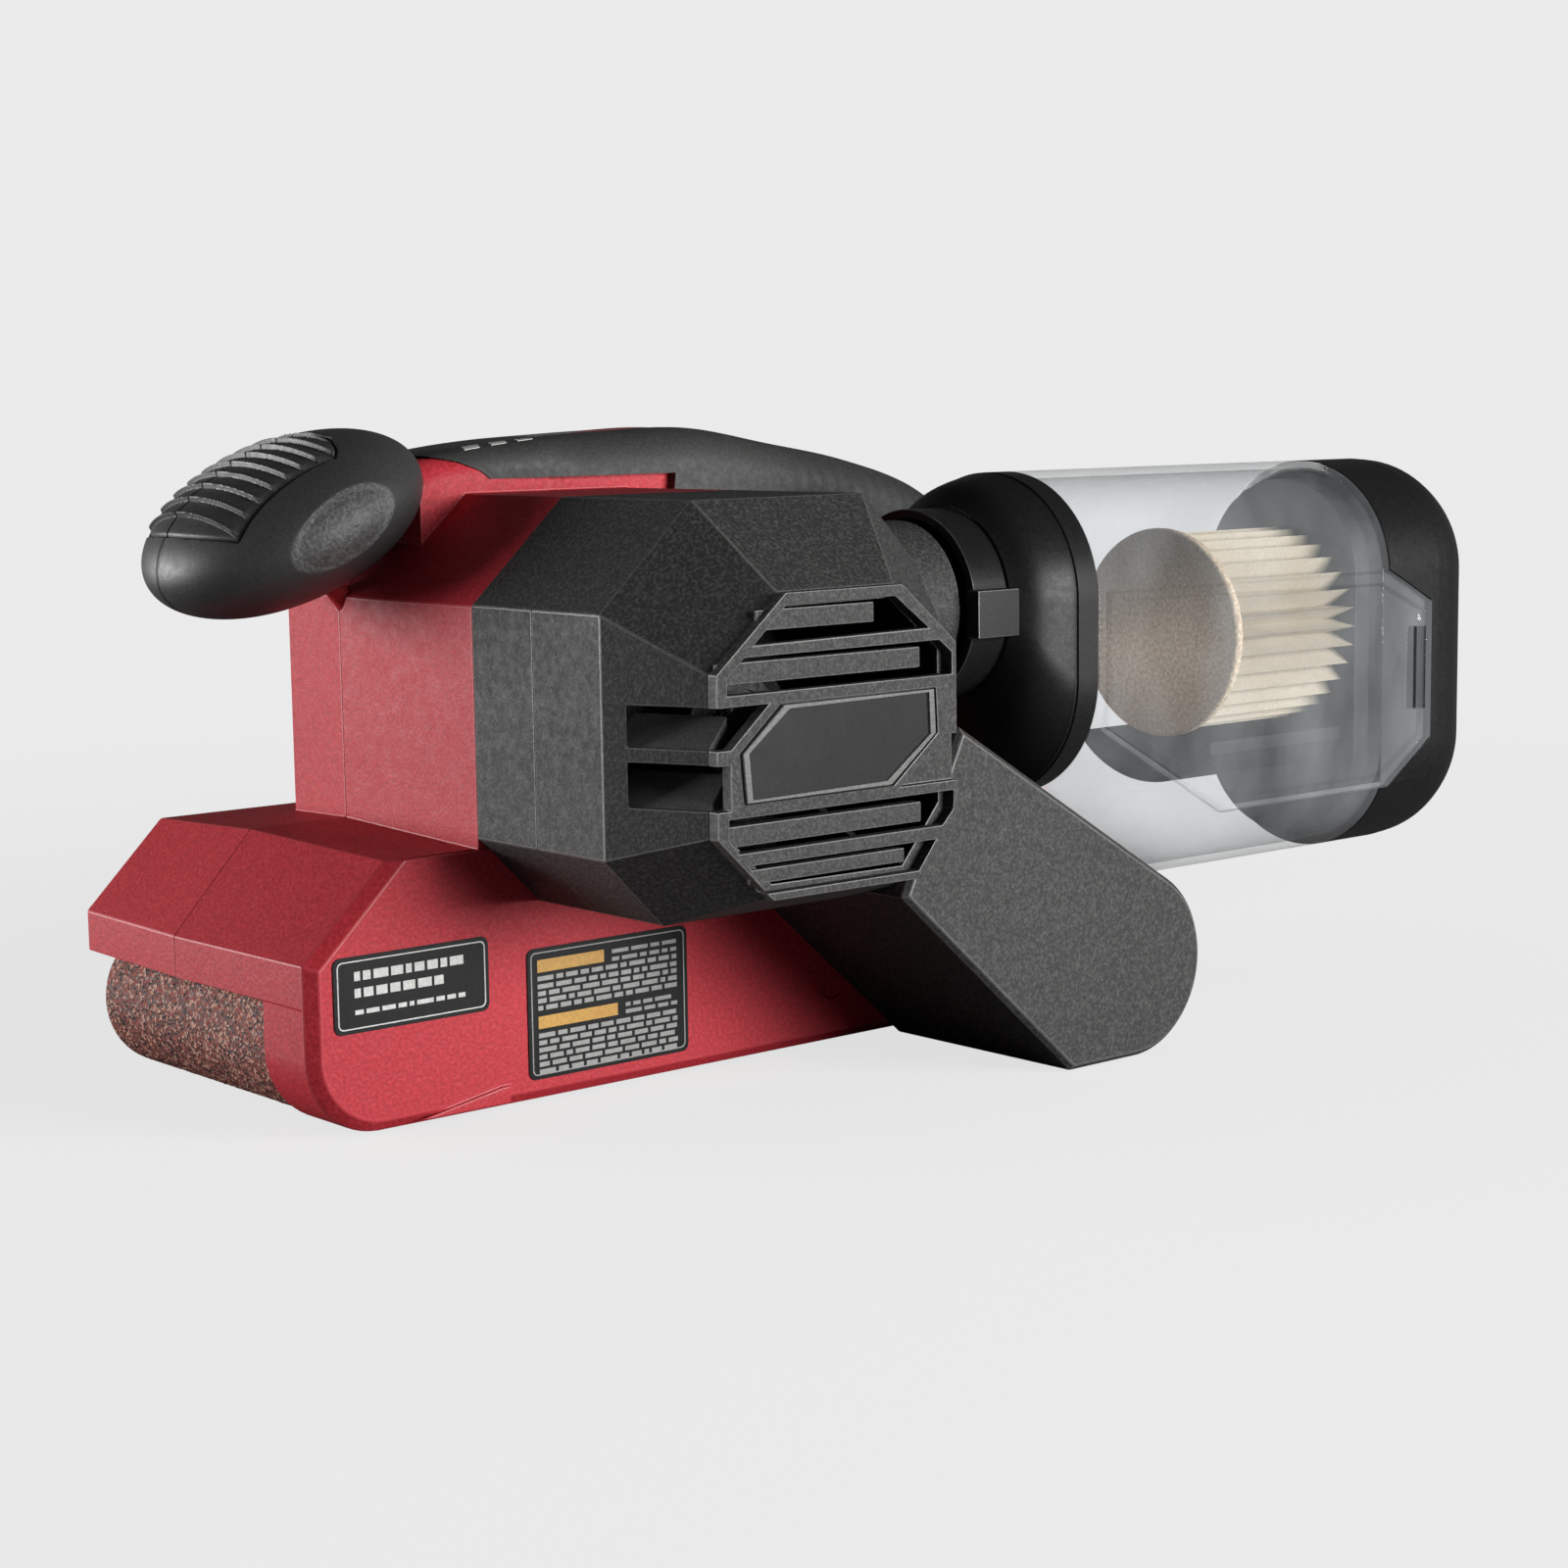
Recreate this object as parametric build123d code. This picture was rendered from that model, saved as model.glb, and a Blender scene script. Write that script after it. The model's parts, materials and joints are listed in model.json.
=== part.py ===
from build123d import *
import os
from math import asin, atan2, cos, pi, radians, sin, sqrt

# Handheld belt sander for 3 x 18 inch belts, in millimetres.
# Origin: centre of the belt's flat sole. +X rear (dust canister), -X front (knob),
# -Y motor-cover side, +Y open belt side, +Z up.

# --- driving dimensions ---------------------------------------------------------
BELT_WIDTH = 76.2
BELT_T = 1.1
AXLE_HALF_SPAN = 83.3
IDLER_OUT_R = 17.3  # belt surface round the idler roller
DRIVE_OUT_R = 22.1  # belt surface round the drive roller
RUN_GAP = 0.3  # clearance between a moving piece and its neighbours
FIT_GAP = 0.05  # radial clearance of a shaft in its bearing

IDLER_X, IDLER_Z = -AXLE_HALF_SPAN, IDLER_OUT_R
DRIVE_X, DRIVE_Z = AXLE_HALF_SPAN, DRIVE_OUT_R
MOTOR_X, MOTOR_Z = -18.2, 84.4

SEAM_Y = -6.2  # plane where the two housing halves meet
WALL_Y = -60.0  # outer face of the side wall beside the belt
WALL_IN_Y = -41.0  # inner face of that wall
OPEN_Y = 37.5  # open side of the roof over the belt
UPRIGHT_OPEN_Y = 20.0
COVER_Y = -59.2  # housing meets fan housing
COVER_SEAM_Y = -81.0  # fan housing meets motor cover
COVER_EDGE_Y = -104.5  # motor cover starts to taper
GRILLE_Y = -129.4
GRILLE_T = 2.8
ARM_Y = -119.0  # outer face of the drive-belt cover
SHELL = 2.8
ROOF_EDGE_Z = 58.8  # top of the side wall

FRONT_X = -60.9  # front plane of the motor housing
TOP_Z = 134.0
REAR_X = 26.0

PORT_Y, PORT_Z = -66.0, 105.0
PORT_R = 20.5
PORT_END_X = 57.6
COLLAR_R = 23.0
COLLAR_X0, COLLAR_X1 = 60.0, 71.0
RIM_X0, SEAM_X = 86.5, 94.5
CAN_HALF_W = 30.0
CAN_TOP_C = 106.0  # height of the upper arc's centre
CAN_LOW_C_FRONT = 87.0
CAN_LOW_C = 61.5
CAN_DEEP_X = 140.0
CAP_X = 205.0
CAP_SHOULDER_X = 226.0
CAP_END_X = 246.0
CAN_WALL = 2.0
TONGUE_X = 223.0
FILTER_R = 27.0
FILTER_Z = 93.0
FILTER_X0, FILTER_X1 = 148.0, 197.0

HANDLE_Y = SEAM_Y
SHAFT_R = 4.0
DRIVE_SHAFT_R = 5.0

PARTS = {}


# --- shape helpers --------------------------------------------------------------
def block(x0, x1, y0, y1, z0, z1):
    return Solid.make_box(x1 - x0, y1 - y0, z1 - z0, Plane((x0, y0, z0)))


def rod(axis, centre, radius, start, end):
    """Cylinder along an axis; centre holds the other two coordinates in X, Y, Z order."""
    a, b = centre
    origin = {"x": (start, a, b), "y": (a, start, b), "z": (a, b, start)}[axis]
    way = {"x": (1, 0, 0), "y": (0, 1, 0), "z": (0, 0, 1)}[axis]
    return Solid.make_cylinder(radius, end - start, Plane(origin, z_dir=way))


def tube(axis, centre, outer, inner, start, end):
    return rod(axis, centre, outer, start, end) - rod(axis, centre, inner, start - 1, end + 1)


def polygon(points, y):
    return Wire.make_polygon([(x, y, z) for x, z in points], close=True)


def prism(points, y0, y1):
    """Outline in X, Z pulled from y0 to y1."""
    return Solid.extrude(Face(polygon(points, y0)), Vector(0, y1 - y0, 0))


def plate(points, z0, z1):
    """Outline in X, Y pulled from z0 to z1."""
    outline = Wire.make_polygon([(x, y, z0) for x, y in points], close=True)
    return Solid.extrude(Face(outline), Vector(0, 0, z1 - z0))


def taper(points0, y0, points1, y1):
    """Flat-sided solid between two outlines in X, Z."""
    return Solid.make_loft([polygon(points0, y0), polygon(points1, y1)], ruled=True)


def rounded(solid, radius, pick):
    return solid.fillet(radius, [e for e in solid.edges() if pick(e)])


def loop_wire(y, circle0, circle1):
    """Open-belt outline round two circles (x, z, radius), the first one in front."""
    x0, z0, r0 = circle0
    x1, z1, r1 = circle1
    span = sqrt((x1 - x0) ** 2 + (z1 - z0) ** 2)
    slope = atan2(z1 - z0, x1 - x0)
    lean = asin((r1 - r0) / span)

    def at(x, z, r, angle):
        return (x + r * cos(angle), y, z + r * sin(angle))

    up, down = slope + pi / 2 + lean, slope - pi / 2 - lean
    a, b = at(x0, z0, r0, up), at(x1, z1, r1, up)
    c, d = at(x1, z1, r1, down), at(x0, z0, r0, down)
    rear = at(x1, z1, r1, slope)
    front = at(x0, z0, r0, slope + pi)
    return Wire([
        Edge.make_line(a, b),
        Edge.make_three_point_arc(b, rear, c),
        Edge.make_line(c, d),
        Edge.make_three_point_arc(d, front, a),
    ])


def loop_band(circle0, circle1, thickness, y0, y1):
    """Endless band of even thickness outside two circles."""
    (x0, z0, r0), (x1, z1, r1) = circle0, circle1
    outer = loop_wire(y0, (x0, z0, r0 + thickness), (x1, z1, r1 + thickness))
    inner = loop_wire(y0, circle0, circle1)
    pull = Vector(0, y1 - y0, 0)
    return Solid.extrude(Face(outer), pull) - Solid.extrude(Face(inner), pull)


def stadium(x, half_w, top_c, low_c):
    """Upright round-ended outline of the canister on a plane of constant X."""
    left, right = PORT_Y - half_w, PORT_Y + half_w
    return Wire([
        Edge.make_line((x, left, low_c), (x, left, top_c)),
        Edge.make_three_point_arc((x, left, top_c), (x, PORT_Y, top_c + half_w), (x, right, top_c)),
        Edge.make_line((x, right, top_c), (x, right, low_c)),
        Edge.make_three_point_arc((x, right, low_c), (x, PORT_Y, low_c - half_w), (x, left, low_c)),
    ])


def canister_run(x0, low0, x1, low1, inset=0.0):
    """Canister stretch between two planes, optionally inset by a wall; its floor may slope."""
    half = CAN_HALF_W - inset
    if low0 == low1:
        return Solid.extrude(Face(stadium(x0, half, CAN_TOP_C, low0)), Vector(x1 - x0, 0, 0))
    top = rod("x", (PORT_Y, CAN_TOP_C), half, x0, x1)
    middle = prism([(x0, low0), (x0, CAN_TOP_C), (x1, CAN_TOP_C), (x1, low1)], PORT_Y - half, PORT_Y + half)
    floor_circle = Wire.make_circle(half, Plane(origin=(x0, PORT_Y, low0), z_dir=(1, 0, 0)))
    return top + middle + Solid.extrude(Face(floor_circle), Vector(x1 - x0, 0, low1 - low0))


def screw(axis, centre, head_at, length, way, head_r=3.2, shank_r=1.8):
    """Pan-head screw: way is +1 or -1, the direction in which the shank runs."""
    head = rod(axis, centre, head_r, *sorted((head_at, head_at + 2.2 * way)))
    shank = rod(axis, centre, shank_r, *sorted((head_at + 2.2 * way, head_at + length * way)))
    return head + shank


def keep(name, shape):
    PARTS[name] = shape


# --- belt group -------------------------------------------------------------------
def sanding_belt():
    inner0 = (IDLER_X, IDLER_Z, IDLER_OUT_R - BELT_T)
    inner1 = (DRIVE_X, DRIVE_Z, DRIVE_OUT_R - BELT_T)
    return loop_band(inner0, inner1, BELT_T, -BELT_WIDTH / 2, BELT_WIDTH / 2)


IDLER_R = IDLER_OUT_R - BELT_T - RUN_GAP
IDLER_HALF = 36.0
AXLE_R = 4.0


def idler_roller():
    body = tube("y", (IDLER_X, IDLER_Z), IDLER_R, AXLE_R + 4.0, -IDLER_HALF, IDLER_HALF)
    for side in (-1, 1):
        start, end = sorted((side * (IDLER_HALF - 6), side * (IDLER_HALF + 1)))
        body = body - tube("y", (IDLER_X, IDLER_Z), IDLER_R - 2.6, AXLE_R + 6.5, start, end)
    return body


def idler_bushings():
    spans = ((-IDLER_HALF, -IDLER_HALF + 14), (IDLER_HALF - 14, IDLER_HALF))
    return [tube("y", (IDLER_X, IDLER_Z), AXLE_R + 3.98, AXLE_R + FIT_GAP, *s) for s in spans]


YOKE_ARM_Y0, YOKE_ARM_Y1 = 36.5, 39.2
CROSSBAR_X0, CROSSBAR_X1 = -65.0, -60.0
TONGUE_END_X = -28.0


def idler_yoke():
    arm = [(CROSSBAR_X1, 8), (CROSSBAR_X1, 26), (IDLER_X, IDLER_Z + 8.5), (IDLER_X, IDLER_Z - 8.5)]
    body = block(CROSSBAR_X0, CROSSBAR_X1, -YOKE_ARM_Y1, YOKE_ARM_Y1, 8, 26)
    for side in (-1, 1):
        y0, y1 = sorted((side * YOKE_ARM_Y0, side * YOKE_ARM_Y1))
        ear = prism(arm, y0, y1) + rod("y", (IDLER_X, IDLER_Z), 8.5, y0, y1)
        body = body + ear
    body = body + block(CROSSBAR_X1, TONGUE_END_X, -12, 12, 11, 23)
    body = body + release_link()
    return body - rod("y", (IDLER_X, IDLER_Z), AXLE_R + 0.01, -50, 50)


def idler_axle():
    return rod("y", (IDLER_X, IDLER_Z), AXLE_R, -YOKE_ARM_Y1 - 0.4, YOKE_ARM_Y1 + 0.4)


# --- belt-release lever: a crank pin on its hub draws the yoke back ----------------
LEVER_X, LEVER_Y = 20.0, 31.0
LEVER_Z0, LEVER_Z1 = 10.2, 20.0
CRANK_R = 3.26
CRANK_PIN_R = 1.5
CRANK_LEAD = radians(50)
CRANK_X = LEVER_X - CRANK_R * sin(CRANK_LEAD)
CRANK_Y = LEVER_Y + CRANK_R * cos(CRANK_LEAD)
LEVER_PIN_R = 2.5


def release_link():
    strap = block(CROSSBAR_X1, LEVER_X + 4, LEVER_Y - 3, LEVER_Y + 7, 20.6, 23.0)
    slot_w = CRANK_PIN_R + 0.5
    slot = block(CRANK_X - slot_w, CRANK_X + slot_w, CRANK_Y - 2.2, CRANK_Y + 3.2, 20, 24)
    return strap - slot


def tension_lever():
    hub = rod("z", (LEVER_X, LEVER_Y), 5.8, LEVER_Z0, LEVER_Z1)
    arm = plate(
        [(LEVER_X, LEVER_Y - 3), (LEVER_X, LEVER_Y + 4.5), (-34, LEVER_Y + 5.5),
         (-42, LEVER_Y + 3), (-42, LEVER_Y), (-34, LEVER_Y - 1)],
        LEVER_Z0 + 1, LEVER_Z1 - 1)
    crank = rod("z", (CRANK_X, CRANK_Y), CRANK_PIN_R, LEVER_Z1 - 1, 23.0)
    return hub + arm + crank - rod("z", (LEVER_X, LEVER_Y), LEVER_PIN_R + FIT_GAP, 0, LEVER_Z1 - 1.5)


def lever_pin():
    return rod("z", (LEVER_X, LEVER_Y), LEVER_PIN_R, 4.5, LEVER_Z1 - 2.0)


# --- chassis inside the belt loop -----------------------------------------------
FRAME_X0, FRAME_X1 = -44.0, 54.0
PLATEN_Z0, PLATEN_Z1 = 2.6, 3.6
POCKET_END_X = -8.0


def inner_frame():
    body = block(FRAME_X0, FRAME_X1, WALL_IN_Y, 24.0, PLATEN_Z1, 28)
    body = body - block(FRAME_X0 - 1, POCKET_END_X, -12.4, 12.4, 10.6, 23.4)
    for x0 in (-2.0, 26.0):
        body = body - block(x0, x0 + 22, -36, 18, 8, 30)
    lug = block(LEVER_X - 7, LEVER_X + 7, 23, LEVER_Y + 6.5, PLATEN_Z1, LEVER_Z0 - RUN_GAP)
    body = body + lug - rod("z", (LEVER_X, LEVER_Y), LEVER_PIN_R + 0.01, 4.5, 12)
    for x in FRAME_BOLTS:
        body = body - rod("y", (x, 16.0), 2.52, WALL_IN_Y - 1, -33)
    return body


def platen():
    lip = 4.0
    outline = [(-60, PLATEN_Z1), (58, PLATEN_Z1), (58 + lip, PLATEN_Z1 + lip),
               (58 + lip + 0.7, PLATEN_Z1 + lip - 0.7), (58.4, PLATEN_Z0), (-60.4, PLATEN_Z0),
               (-60 - lip - 0.7, PLATEN_Z1 + lip - 0.7), (-60 - lip, PLATEN_Z1 + lip)]
    return prism(outline, -37, 37)


def cork_pad():
    return block(-58, 56, -37, 37, BELT_T + RUN_GAP, PLATEN_Z0)


def coil(axis_at, radius, wire_r, start, end, turns, way):
    """Compression spring: a round wire wound along way from start to end."""
    pitch = (end - start - 2 * wire_r) / turns
    helix = Edge.make_helix(pitch, pitch * turns, radius)
    path = Wire([helix])
    profile = Plane(origin=path @ 0, z_dir=path % 0)
    section = profile * Circle(wire_r)
    wound = sweep(section, path=path)
    origin = {"x": (start + wire_r, *axis_at), "z": (*axis_at, start + wire_r)}[way]
    z_dir = {"x": (1, 0, 0), "z": (0, 0, 1)}[way]
    return Plane(origin, z_dir=z_dir) * wound


def tension_spring():
    return coil((0.0, 17.0), 4.6, 0.7, TONGUE_END_X + 0.1, POCKET_END_X - 0.1, 6, "x")


# --- drive roller and its shaft ---------------------------------------------------
ROLLER_R = DRIVE_OUT_R - BELT_T - RUN_GAP
ROLLER_CORE_R = 16.8
ROLLER_HALF = 37.5
DRIVE_SHAFT_Y0 = -114.0


def drive_roller_core():
    body = tube("y", (DRIVE_X, DRIVE_Z), ROLLER_CORE_R, DRIVE_SHAFT_R + 0.02, -ROLLER_HALF, ROLLER_HALF)
    return body - tube("y", (DRIVE_X, DRIVE_Z), ROLLER_CORE_R - 3, 9, ROLLER_HALF - 7, ROLLER_HALF + 1)


def roller_sleeve():
    return tube("y", (DRIVE_X, DRIVE_Z), ROLLER_R, ROLLER_CORE_R + 0.02, -ROLLER_HALF, ROLLER_HALF)


def drive_shaft():
    shaft = rod("y", (DRIVE_X, DRIVE_Z), DRIVE_SHAFT_R, DRIVE_SHAFT_Y0, ROLLER_HALF + 2)
    return shaft + rod("y", (DRIVE_X, DRIVE_Z), DRIVE_SHAFT_R + 2.2, ROLLER_HALF + 0.05, ROLLER_HALF + 1.2)


ROLLER_BEARINGS = ((-52.0, -44.0), (-95.0, -87.0))
ROLLER_BEARING_R = 13.0


def ring_bearing(centre, outer, inner, y0, y1):
    """Sealed ball bearing: a ring with a shallow shield groove in each side."""
    ring = tube("y", centre, outer, inner, y0, y1)
    for a, b in ((y0 - 1, y0 + 0.5), (y1 - 0.5, y1 + 1)):
        ring = ring - tube("y", centre, outer - 2.4, inner + 2.2, a, b)
    return ring


def roller_bearings():
    centre = (DRIVE_X, DRIVE_Z)
    return [ring_bearing(centre, ROLLER_BEARING_R, DRIVE_SHAFT_R + FIT_GAP, *s) for s in ROLLER_BEARINGS]


# --- ribbed drive belt and pulleys ---------------------------------------------
RIB_COUNT = 4
RIB_PITCH = 2.34
PULLEY_Y0 = -112.5
PULLEY_W = RIB_COUNT * RIB_PITCH + 2.4
SMALL_PULLEY_R = 6.6
LARGE_PULLEY_R = 17.4
RIB_H = 1.4


def ribbed_pulley(centre, radius, bore, flange=0.0):
    """Pulley with V grooves round it, turned about the Y axis through centre."""
    x, z = centre
    points = [(bore, 0.0), (radius, 0.0), (radius, 1.2)]
    for i in range(RIB_COUNT):
        y = 1.2 + i * RIB_PITCH
        points += [(radius - RIB_H, y + RIB_PITCH / 2), (radius, y + RIB_PITCH)]
    points += [(radius, PULLEY_W), (bore, PULLEY_W)]
    outline = Wire.make_polygon([(x + r, PULLEY_Y0 + y, z) for r, y in points], close=True)
    body = Solid.revolve(Face(outline), 360, Axis((x, 0, z), (0, 1, 0)))
    if flange:
        body = body + tube("y", centre, radius + flange, bore, PULLEY_Y0 - 0.8, PULLEY_Y0)
    return body


def drive_pulley():
    return ribbed_pulley((MOTOR_X, MOTOR_Z), SMALL_PULLEY_R, SHAFT_R + 0.02)


def driven_pulley():
    centre = (DRIVE_X, DRIVE_Z)
    body = ribbed_pulley(centre, LARGE_PULLEY_R, DRIVE_SHAFT_R + 0.02)
    y1 = PULLEY_Y0 + PULLEY_W
    body = body - tube("y", centre, LARGE_PULLEY_R - 3.5, 9, PULLEY_Y0 - 1, PULLEY_Y0 + 3.5)
    return body - tube("y", centre, LARGE_PULLEY_R - 3.5, 9, y1 - 3.5, y1 + 1)


def drive_belt():
    """Backing band with four V ribs, a running gap clear of both pulleys."""
    gap = 0.35
    y0 = PULLEY_Y0 + 1.2 + 0.1
    small = (MOTOR_X, MOTOR_Z, SMALL_PULLEY_R + gap)
    large = (DRIVE_X, DRIVE_Z, LARGE_PULLEY_R + gap)
    band = loop_band(small, large, 1.0, y0, y0 + RIB_COUNT * RIB_PITCH - 0.2)
    for i in range(RIB_COUNT):
        middle = PULLEY_Y0 + 1.2 + (i + 0.5) * RIB_PITCH
        rib0 = (MOTOR_X, MOTOR_Z, SMALL_PULLEY_R + gap - 0.5)
        rib1 = (DRIVE_X, DRIVE_Z, LARGE_PULLEY_R + gap - 0.5)
        band = band + loop_band(rib0, rib1, 0.6, middle - 0.3, middle + 0.3)
    return band


# --- motor ---------------------------------------------------------------------------
M = (MOTOR_X, MOTOR_Z)
STATOR_R = 32.0
STATOR_BORE = 18.0
STATOR_Y0, STATOR_Y1 = -46.0, -16.0
MOTOR_BEARINGS = ((9.0, 16.0), (-58.5, -51.5), (-97.5, -90.5))
MOTOR_BEARING_R = 11.0


def stator_core():
    """Laminated stack with two poles and open slots for the coils."""
    ring = tube("y", M, STATOR_R, STATOR_R - 6, STATOR_Y0, STATOR_Y1)
    for side in (-1, 1):
        x0, x1 = sorted((MOTOR_X + side * (STATOR_BORE - 1), MOTOR_X + side * (STATOR_R - 4)))
        ring = ring + block(x0, x1, STATOR_Y0, STATOR_Y1, MOTOR_Z - 9, MOTOR_Z + 9)
    return ring - rod("y", M, STATOR_BORE, STATOR_Y0 - 1, STATOR_Y1 + 1)


def field_coils():
    """Two copper coils, one round each pole."""
    coils = []
    for side in (-1, 1):
        x0, x1 = sorted((MOTOR_X + side * (STATOR_BORE + 3.5), MOTOR_X + side * (STATOR_R - 7.5)))
        outer = block(x0, x1, STATOR_Y0 - 5, STATOR_Y1 + 5, MOTOR_Z - 13, MOTOR_Z + 13)
        inner = block(x0 - 1, x1 + 1, STATOR_Y0 - 0.2, STATOR_Y1 + 0.2, MOTOR_Z - 9.2, MOTOR_Z + 9.2)
        shell = rod("y", M, STATOR_R - 6.4, STATOR_Y0 - 6, STATOR_Y1 + 6)
        coils.append((outer - inner) & shell)
    return coils


def armature_shaft():
    return rod("y", M, SHAFT_R, -114.0, 16.8)


def armature_core():
    """Slotted lamination stack."""
    body = tube("y", M, 17.2, SHAFT_R + 0.02, STATOR_Y0 + 1, STATOR_Y1 - 1)
    slots = 12
    for i in range(slots):
        angle = 360 / slots * (i + 0.5)
        slot = block(14, 19, STATOR_Y0, STATOR_Y1, -0.9, 0.9)
        body = body - Pos(MOTOR_X, 0, MOTOR_Z) * Rot(0, angle, 0) * slot
    return body


def armature_winding():
    """End turns of the winding at both ends of the stack."""
    ends = []
    for y0, y1 in ((STATOR_Y0 - 4.5, STATOR_Y0 + 0.9), (STATOR_Y1 - 0.9, STATOR_Y1 + 5.5)):
        ring = tube("y", M, 14.5, SHAFT_R + 0.5, y0, y1)
        ends.append(rounded(ring, 2.0, lambda e: e.geom_type == GeomType.CIRCLE and e.radius > 10))
    return ends


def commutator():
    body = tube("y", M, 10.5, SHAFT_R + 0.02, -9.5, 4.5)
    bars = 24
    for i in range(bars):
        groove = block(9.6, 11.5, -8.5, 5.5, -0.25, 0.25)
        body = body - Pos(MOTOR_X, 0, MOTOR_Z) * Rot(0, 360 / bars * i, 0) * groove
    return body


def brush_box(side, x_near, x_far, half_y, half_z, grow=0.0):
    x0, x1 = sorted((MOTOR_X + side * x_near, MOTOR_X + side * x_far))
    y = -2.5
    return block(x0, x1, y - half_y - grow, y + half_y + grow, MOTOR_Z - half_z - grow, MOTOR_Z + half_z + grow)


def carbon_brushes():
    return [brush_box(s, 10.8, 24.0, 3.2, 4.0) for s in (-1, 1)]


def brush_holders():
    """Moulded ring with a square sleeve for each brush."""
    body = tube("y", M, STATOR_R, 26.0, -4.0, 0.0)
    for side in (-1, 1):
        body = body + brush_box(side, 13.0, 29.8, 3.2, 4.0, 1.6)
    for side in (-1, 1):
        body = body - brush_box(side, 12.0, 37.0, 3.2, 4.0, 0.1)
    return body


def motor_bearings():
    return [ring_bearing(M, MOTOR_BEARING_R, SHAFT_R + FIT_GAP, *s) for s in MOTOR_BEARINGS]


FAN_R = 27.0
FAN_Y0, FAN_Y1 = -78.0, -62.5


def dust_fan():
    """Radial impeller that draws dust from the belt and blows it to the port."""
    plate_y = FAN_Y1 - 2.0
    body = rod("y", M, FAN_R, plate_y, FAN_Y1) + rod("y", M, 8.0, FAN_Y0, FAN_Y1)
    blades = 9
    for i in range(blades):
        blade = block(7.0, FAN_R - 0.4, FAN_Y0, plate_y + 0.5, -0.8, 0.8)
        body = body + Pos(MOTOR_X, 0, MOTOR_Z) * Rot(0, 360 / blades * i, 0) * blade
    return body - rod("y", M, SHAFT_R + 0.02, FAN_Y0 - 1, FAN_Y1 + 1)


# --- housing outlines (X, Z) --------------------------------------------------------
# Motor housing: flat front, sloped forehead, flat top, rounded-off back.
UPRIGHT = [(FRONT_X, 44.0), (FRONT_X, 111.4), (-35.5, TOP_Z), (11.0, TOP_Z), (REAR_X, 119.0), (REAR_X, 44.0)]
COVER = [(FRONT_X, 61.2), (FRONT_X, 111.6), (-36.5, TOP_Z), (11.0, TOP_Z),
         (REAR_X, 119.0), (REAR_X, 60.0), (13.0, 46.0), (-46.0, 46.0)]
GRILLE = [(-51.2, 67.0), (-51.0, 100.2), (-32.5, 115.7), (-0.4, 115.8),
          (15.0, 102.8), (15.0, 66.7), (3.3, 53.0), (-36.8, 53.2)]


def nose(lip_x, ridge_x, top_z):
    """Roof over the belt, from the front lip to the rear lip."""
    return [(lip_x, 29.6), (lip_x, 38.9), (ridge_x, top_z), (60.0, top_z), (76.0, top_z - 4),
            (104.0, 46.0), (112.0, 36.0), (112.0, 28.0)]


def roof_hollow():
    """Space under the roof that clears the belt loop, lower where the motor's floor is."""
    inner = [(-102.2, 20.0), (-102.2, 37.8), (-83.4, 55.8), (-65.0, 55.8), (-65.0, 47.6), (29.0, 47.6),
             (29.0, 55.8), (58.0, 55.8), (75.0, 51.8), (102.0, 43.6), (109.4, 34.8), (109.4, 20.0)]
    return prism(inner, WALL_IN_Y, OPEN_Y + 10)


def side_wall():
    """Deep wall beside the belt: rounded toe in front, straight sole, hollow behind."""
    outline = Wire([
        Edge.make_line((-104.8, WALL_Y, 38.9), (-84.0, WALL_Y, ROOF_EDGE_Z)),
        Edge.make_line((-84.0, WALL_Y, ROOF_EDGE_Z), (60.0, WALL_Y, ROOF_EDGE_Z)),
        Edge.make_line((60.0, WALL_Y, ROOF_EDGE_Z), (104.0, WALL_Y, 46.0)),
        Edge.make_line((104.0, WALL_Y, 46.0), (112.0, WALL_Y, 36.0)),
        Edge.make_line((112.0, WALL_Y, 36.0), (112.0, WALL_Y, 22.0)),
        Edge.make_three_point_arc((112.0, WALL_Y, 22.0), (105.8, WALL_Y, 7.2), (91.0, WALL_Y, 1.0)),
        Edge.make_line((91.0, WALL_Y, 1.0), (-87.5, WALL_Y, 1.0)),
        Edge.make_three_point_arc((-87.5, WALL_Y, 1.0), (-99.8, WALL_Y, 6.5), (-104.8, WALL_Y, 18.5)),
        Edge.make_line((-104.8, WALL_Y, 18.5), (-104.8, WALL_Y, 38.9)),
    ])
    wall = Solid.extrude(Face(outline), Vector(0, WALL_IN_Y - WALL_Y, 0))
    front = [e for e in wall.edges() if abs(e.center().Y - WALL_Y) < 0.01 and e.center().X < -92]
    return wall.chamfer(2.6, None, front)


def wall_hollow():
    """Weight-saving hollow in the side wall, round the drive shaft's bearing boss."""
    outline = [(-101.8, 20), (-101.8, 37.5), (-82.8, 55.6), (58, 55.6), (103, 43), (108.5, 35),
               (108.5, 22), (90, 4.2), (-86, 4.2), (-97, 9)]
    hollow = prism(outline, WALL_Y + 3, WALL_IN_Y - 2.6)
    hollow = hollow - rod("y", (DRIVE_X, DRIVE_Z), ROLLER_BEARING_R + 3, -70, -30)
    for x in (-75.0, -20.0, 35.0):
        hollow = hollow - block(x, x + 3, -70, -30, 0, 60)
    return hollow


def foot_rib():
    return prism([(-79, 2.2), (-55, 2.2), (-55, 6), (-57, 6)], WALL_Y - 0.8, WALL_Y + 0.5)


def base_solid():
    """Side wall and roof in one, crowned towards the housing seam."""
    edge = nose(-104.8, -84.0, ROOF_EDGE_Z)
    ridge = nose(-106.2, -86.0, 60.6)
    far = nose(-104.6, -84.6, 58.6)
    near_roof = taper(edge, WALL_Y + 2.6, ridge, SEAM_Y)
    far_roof = taper(ridge, SEAM_Y, far, OPEN_Y)
    return near_roof, far_roof


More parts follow.
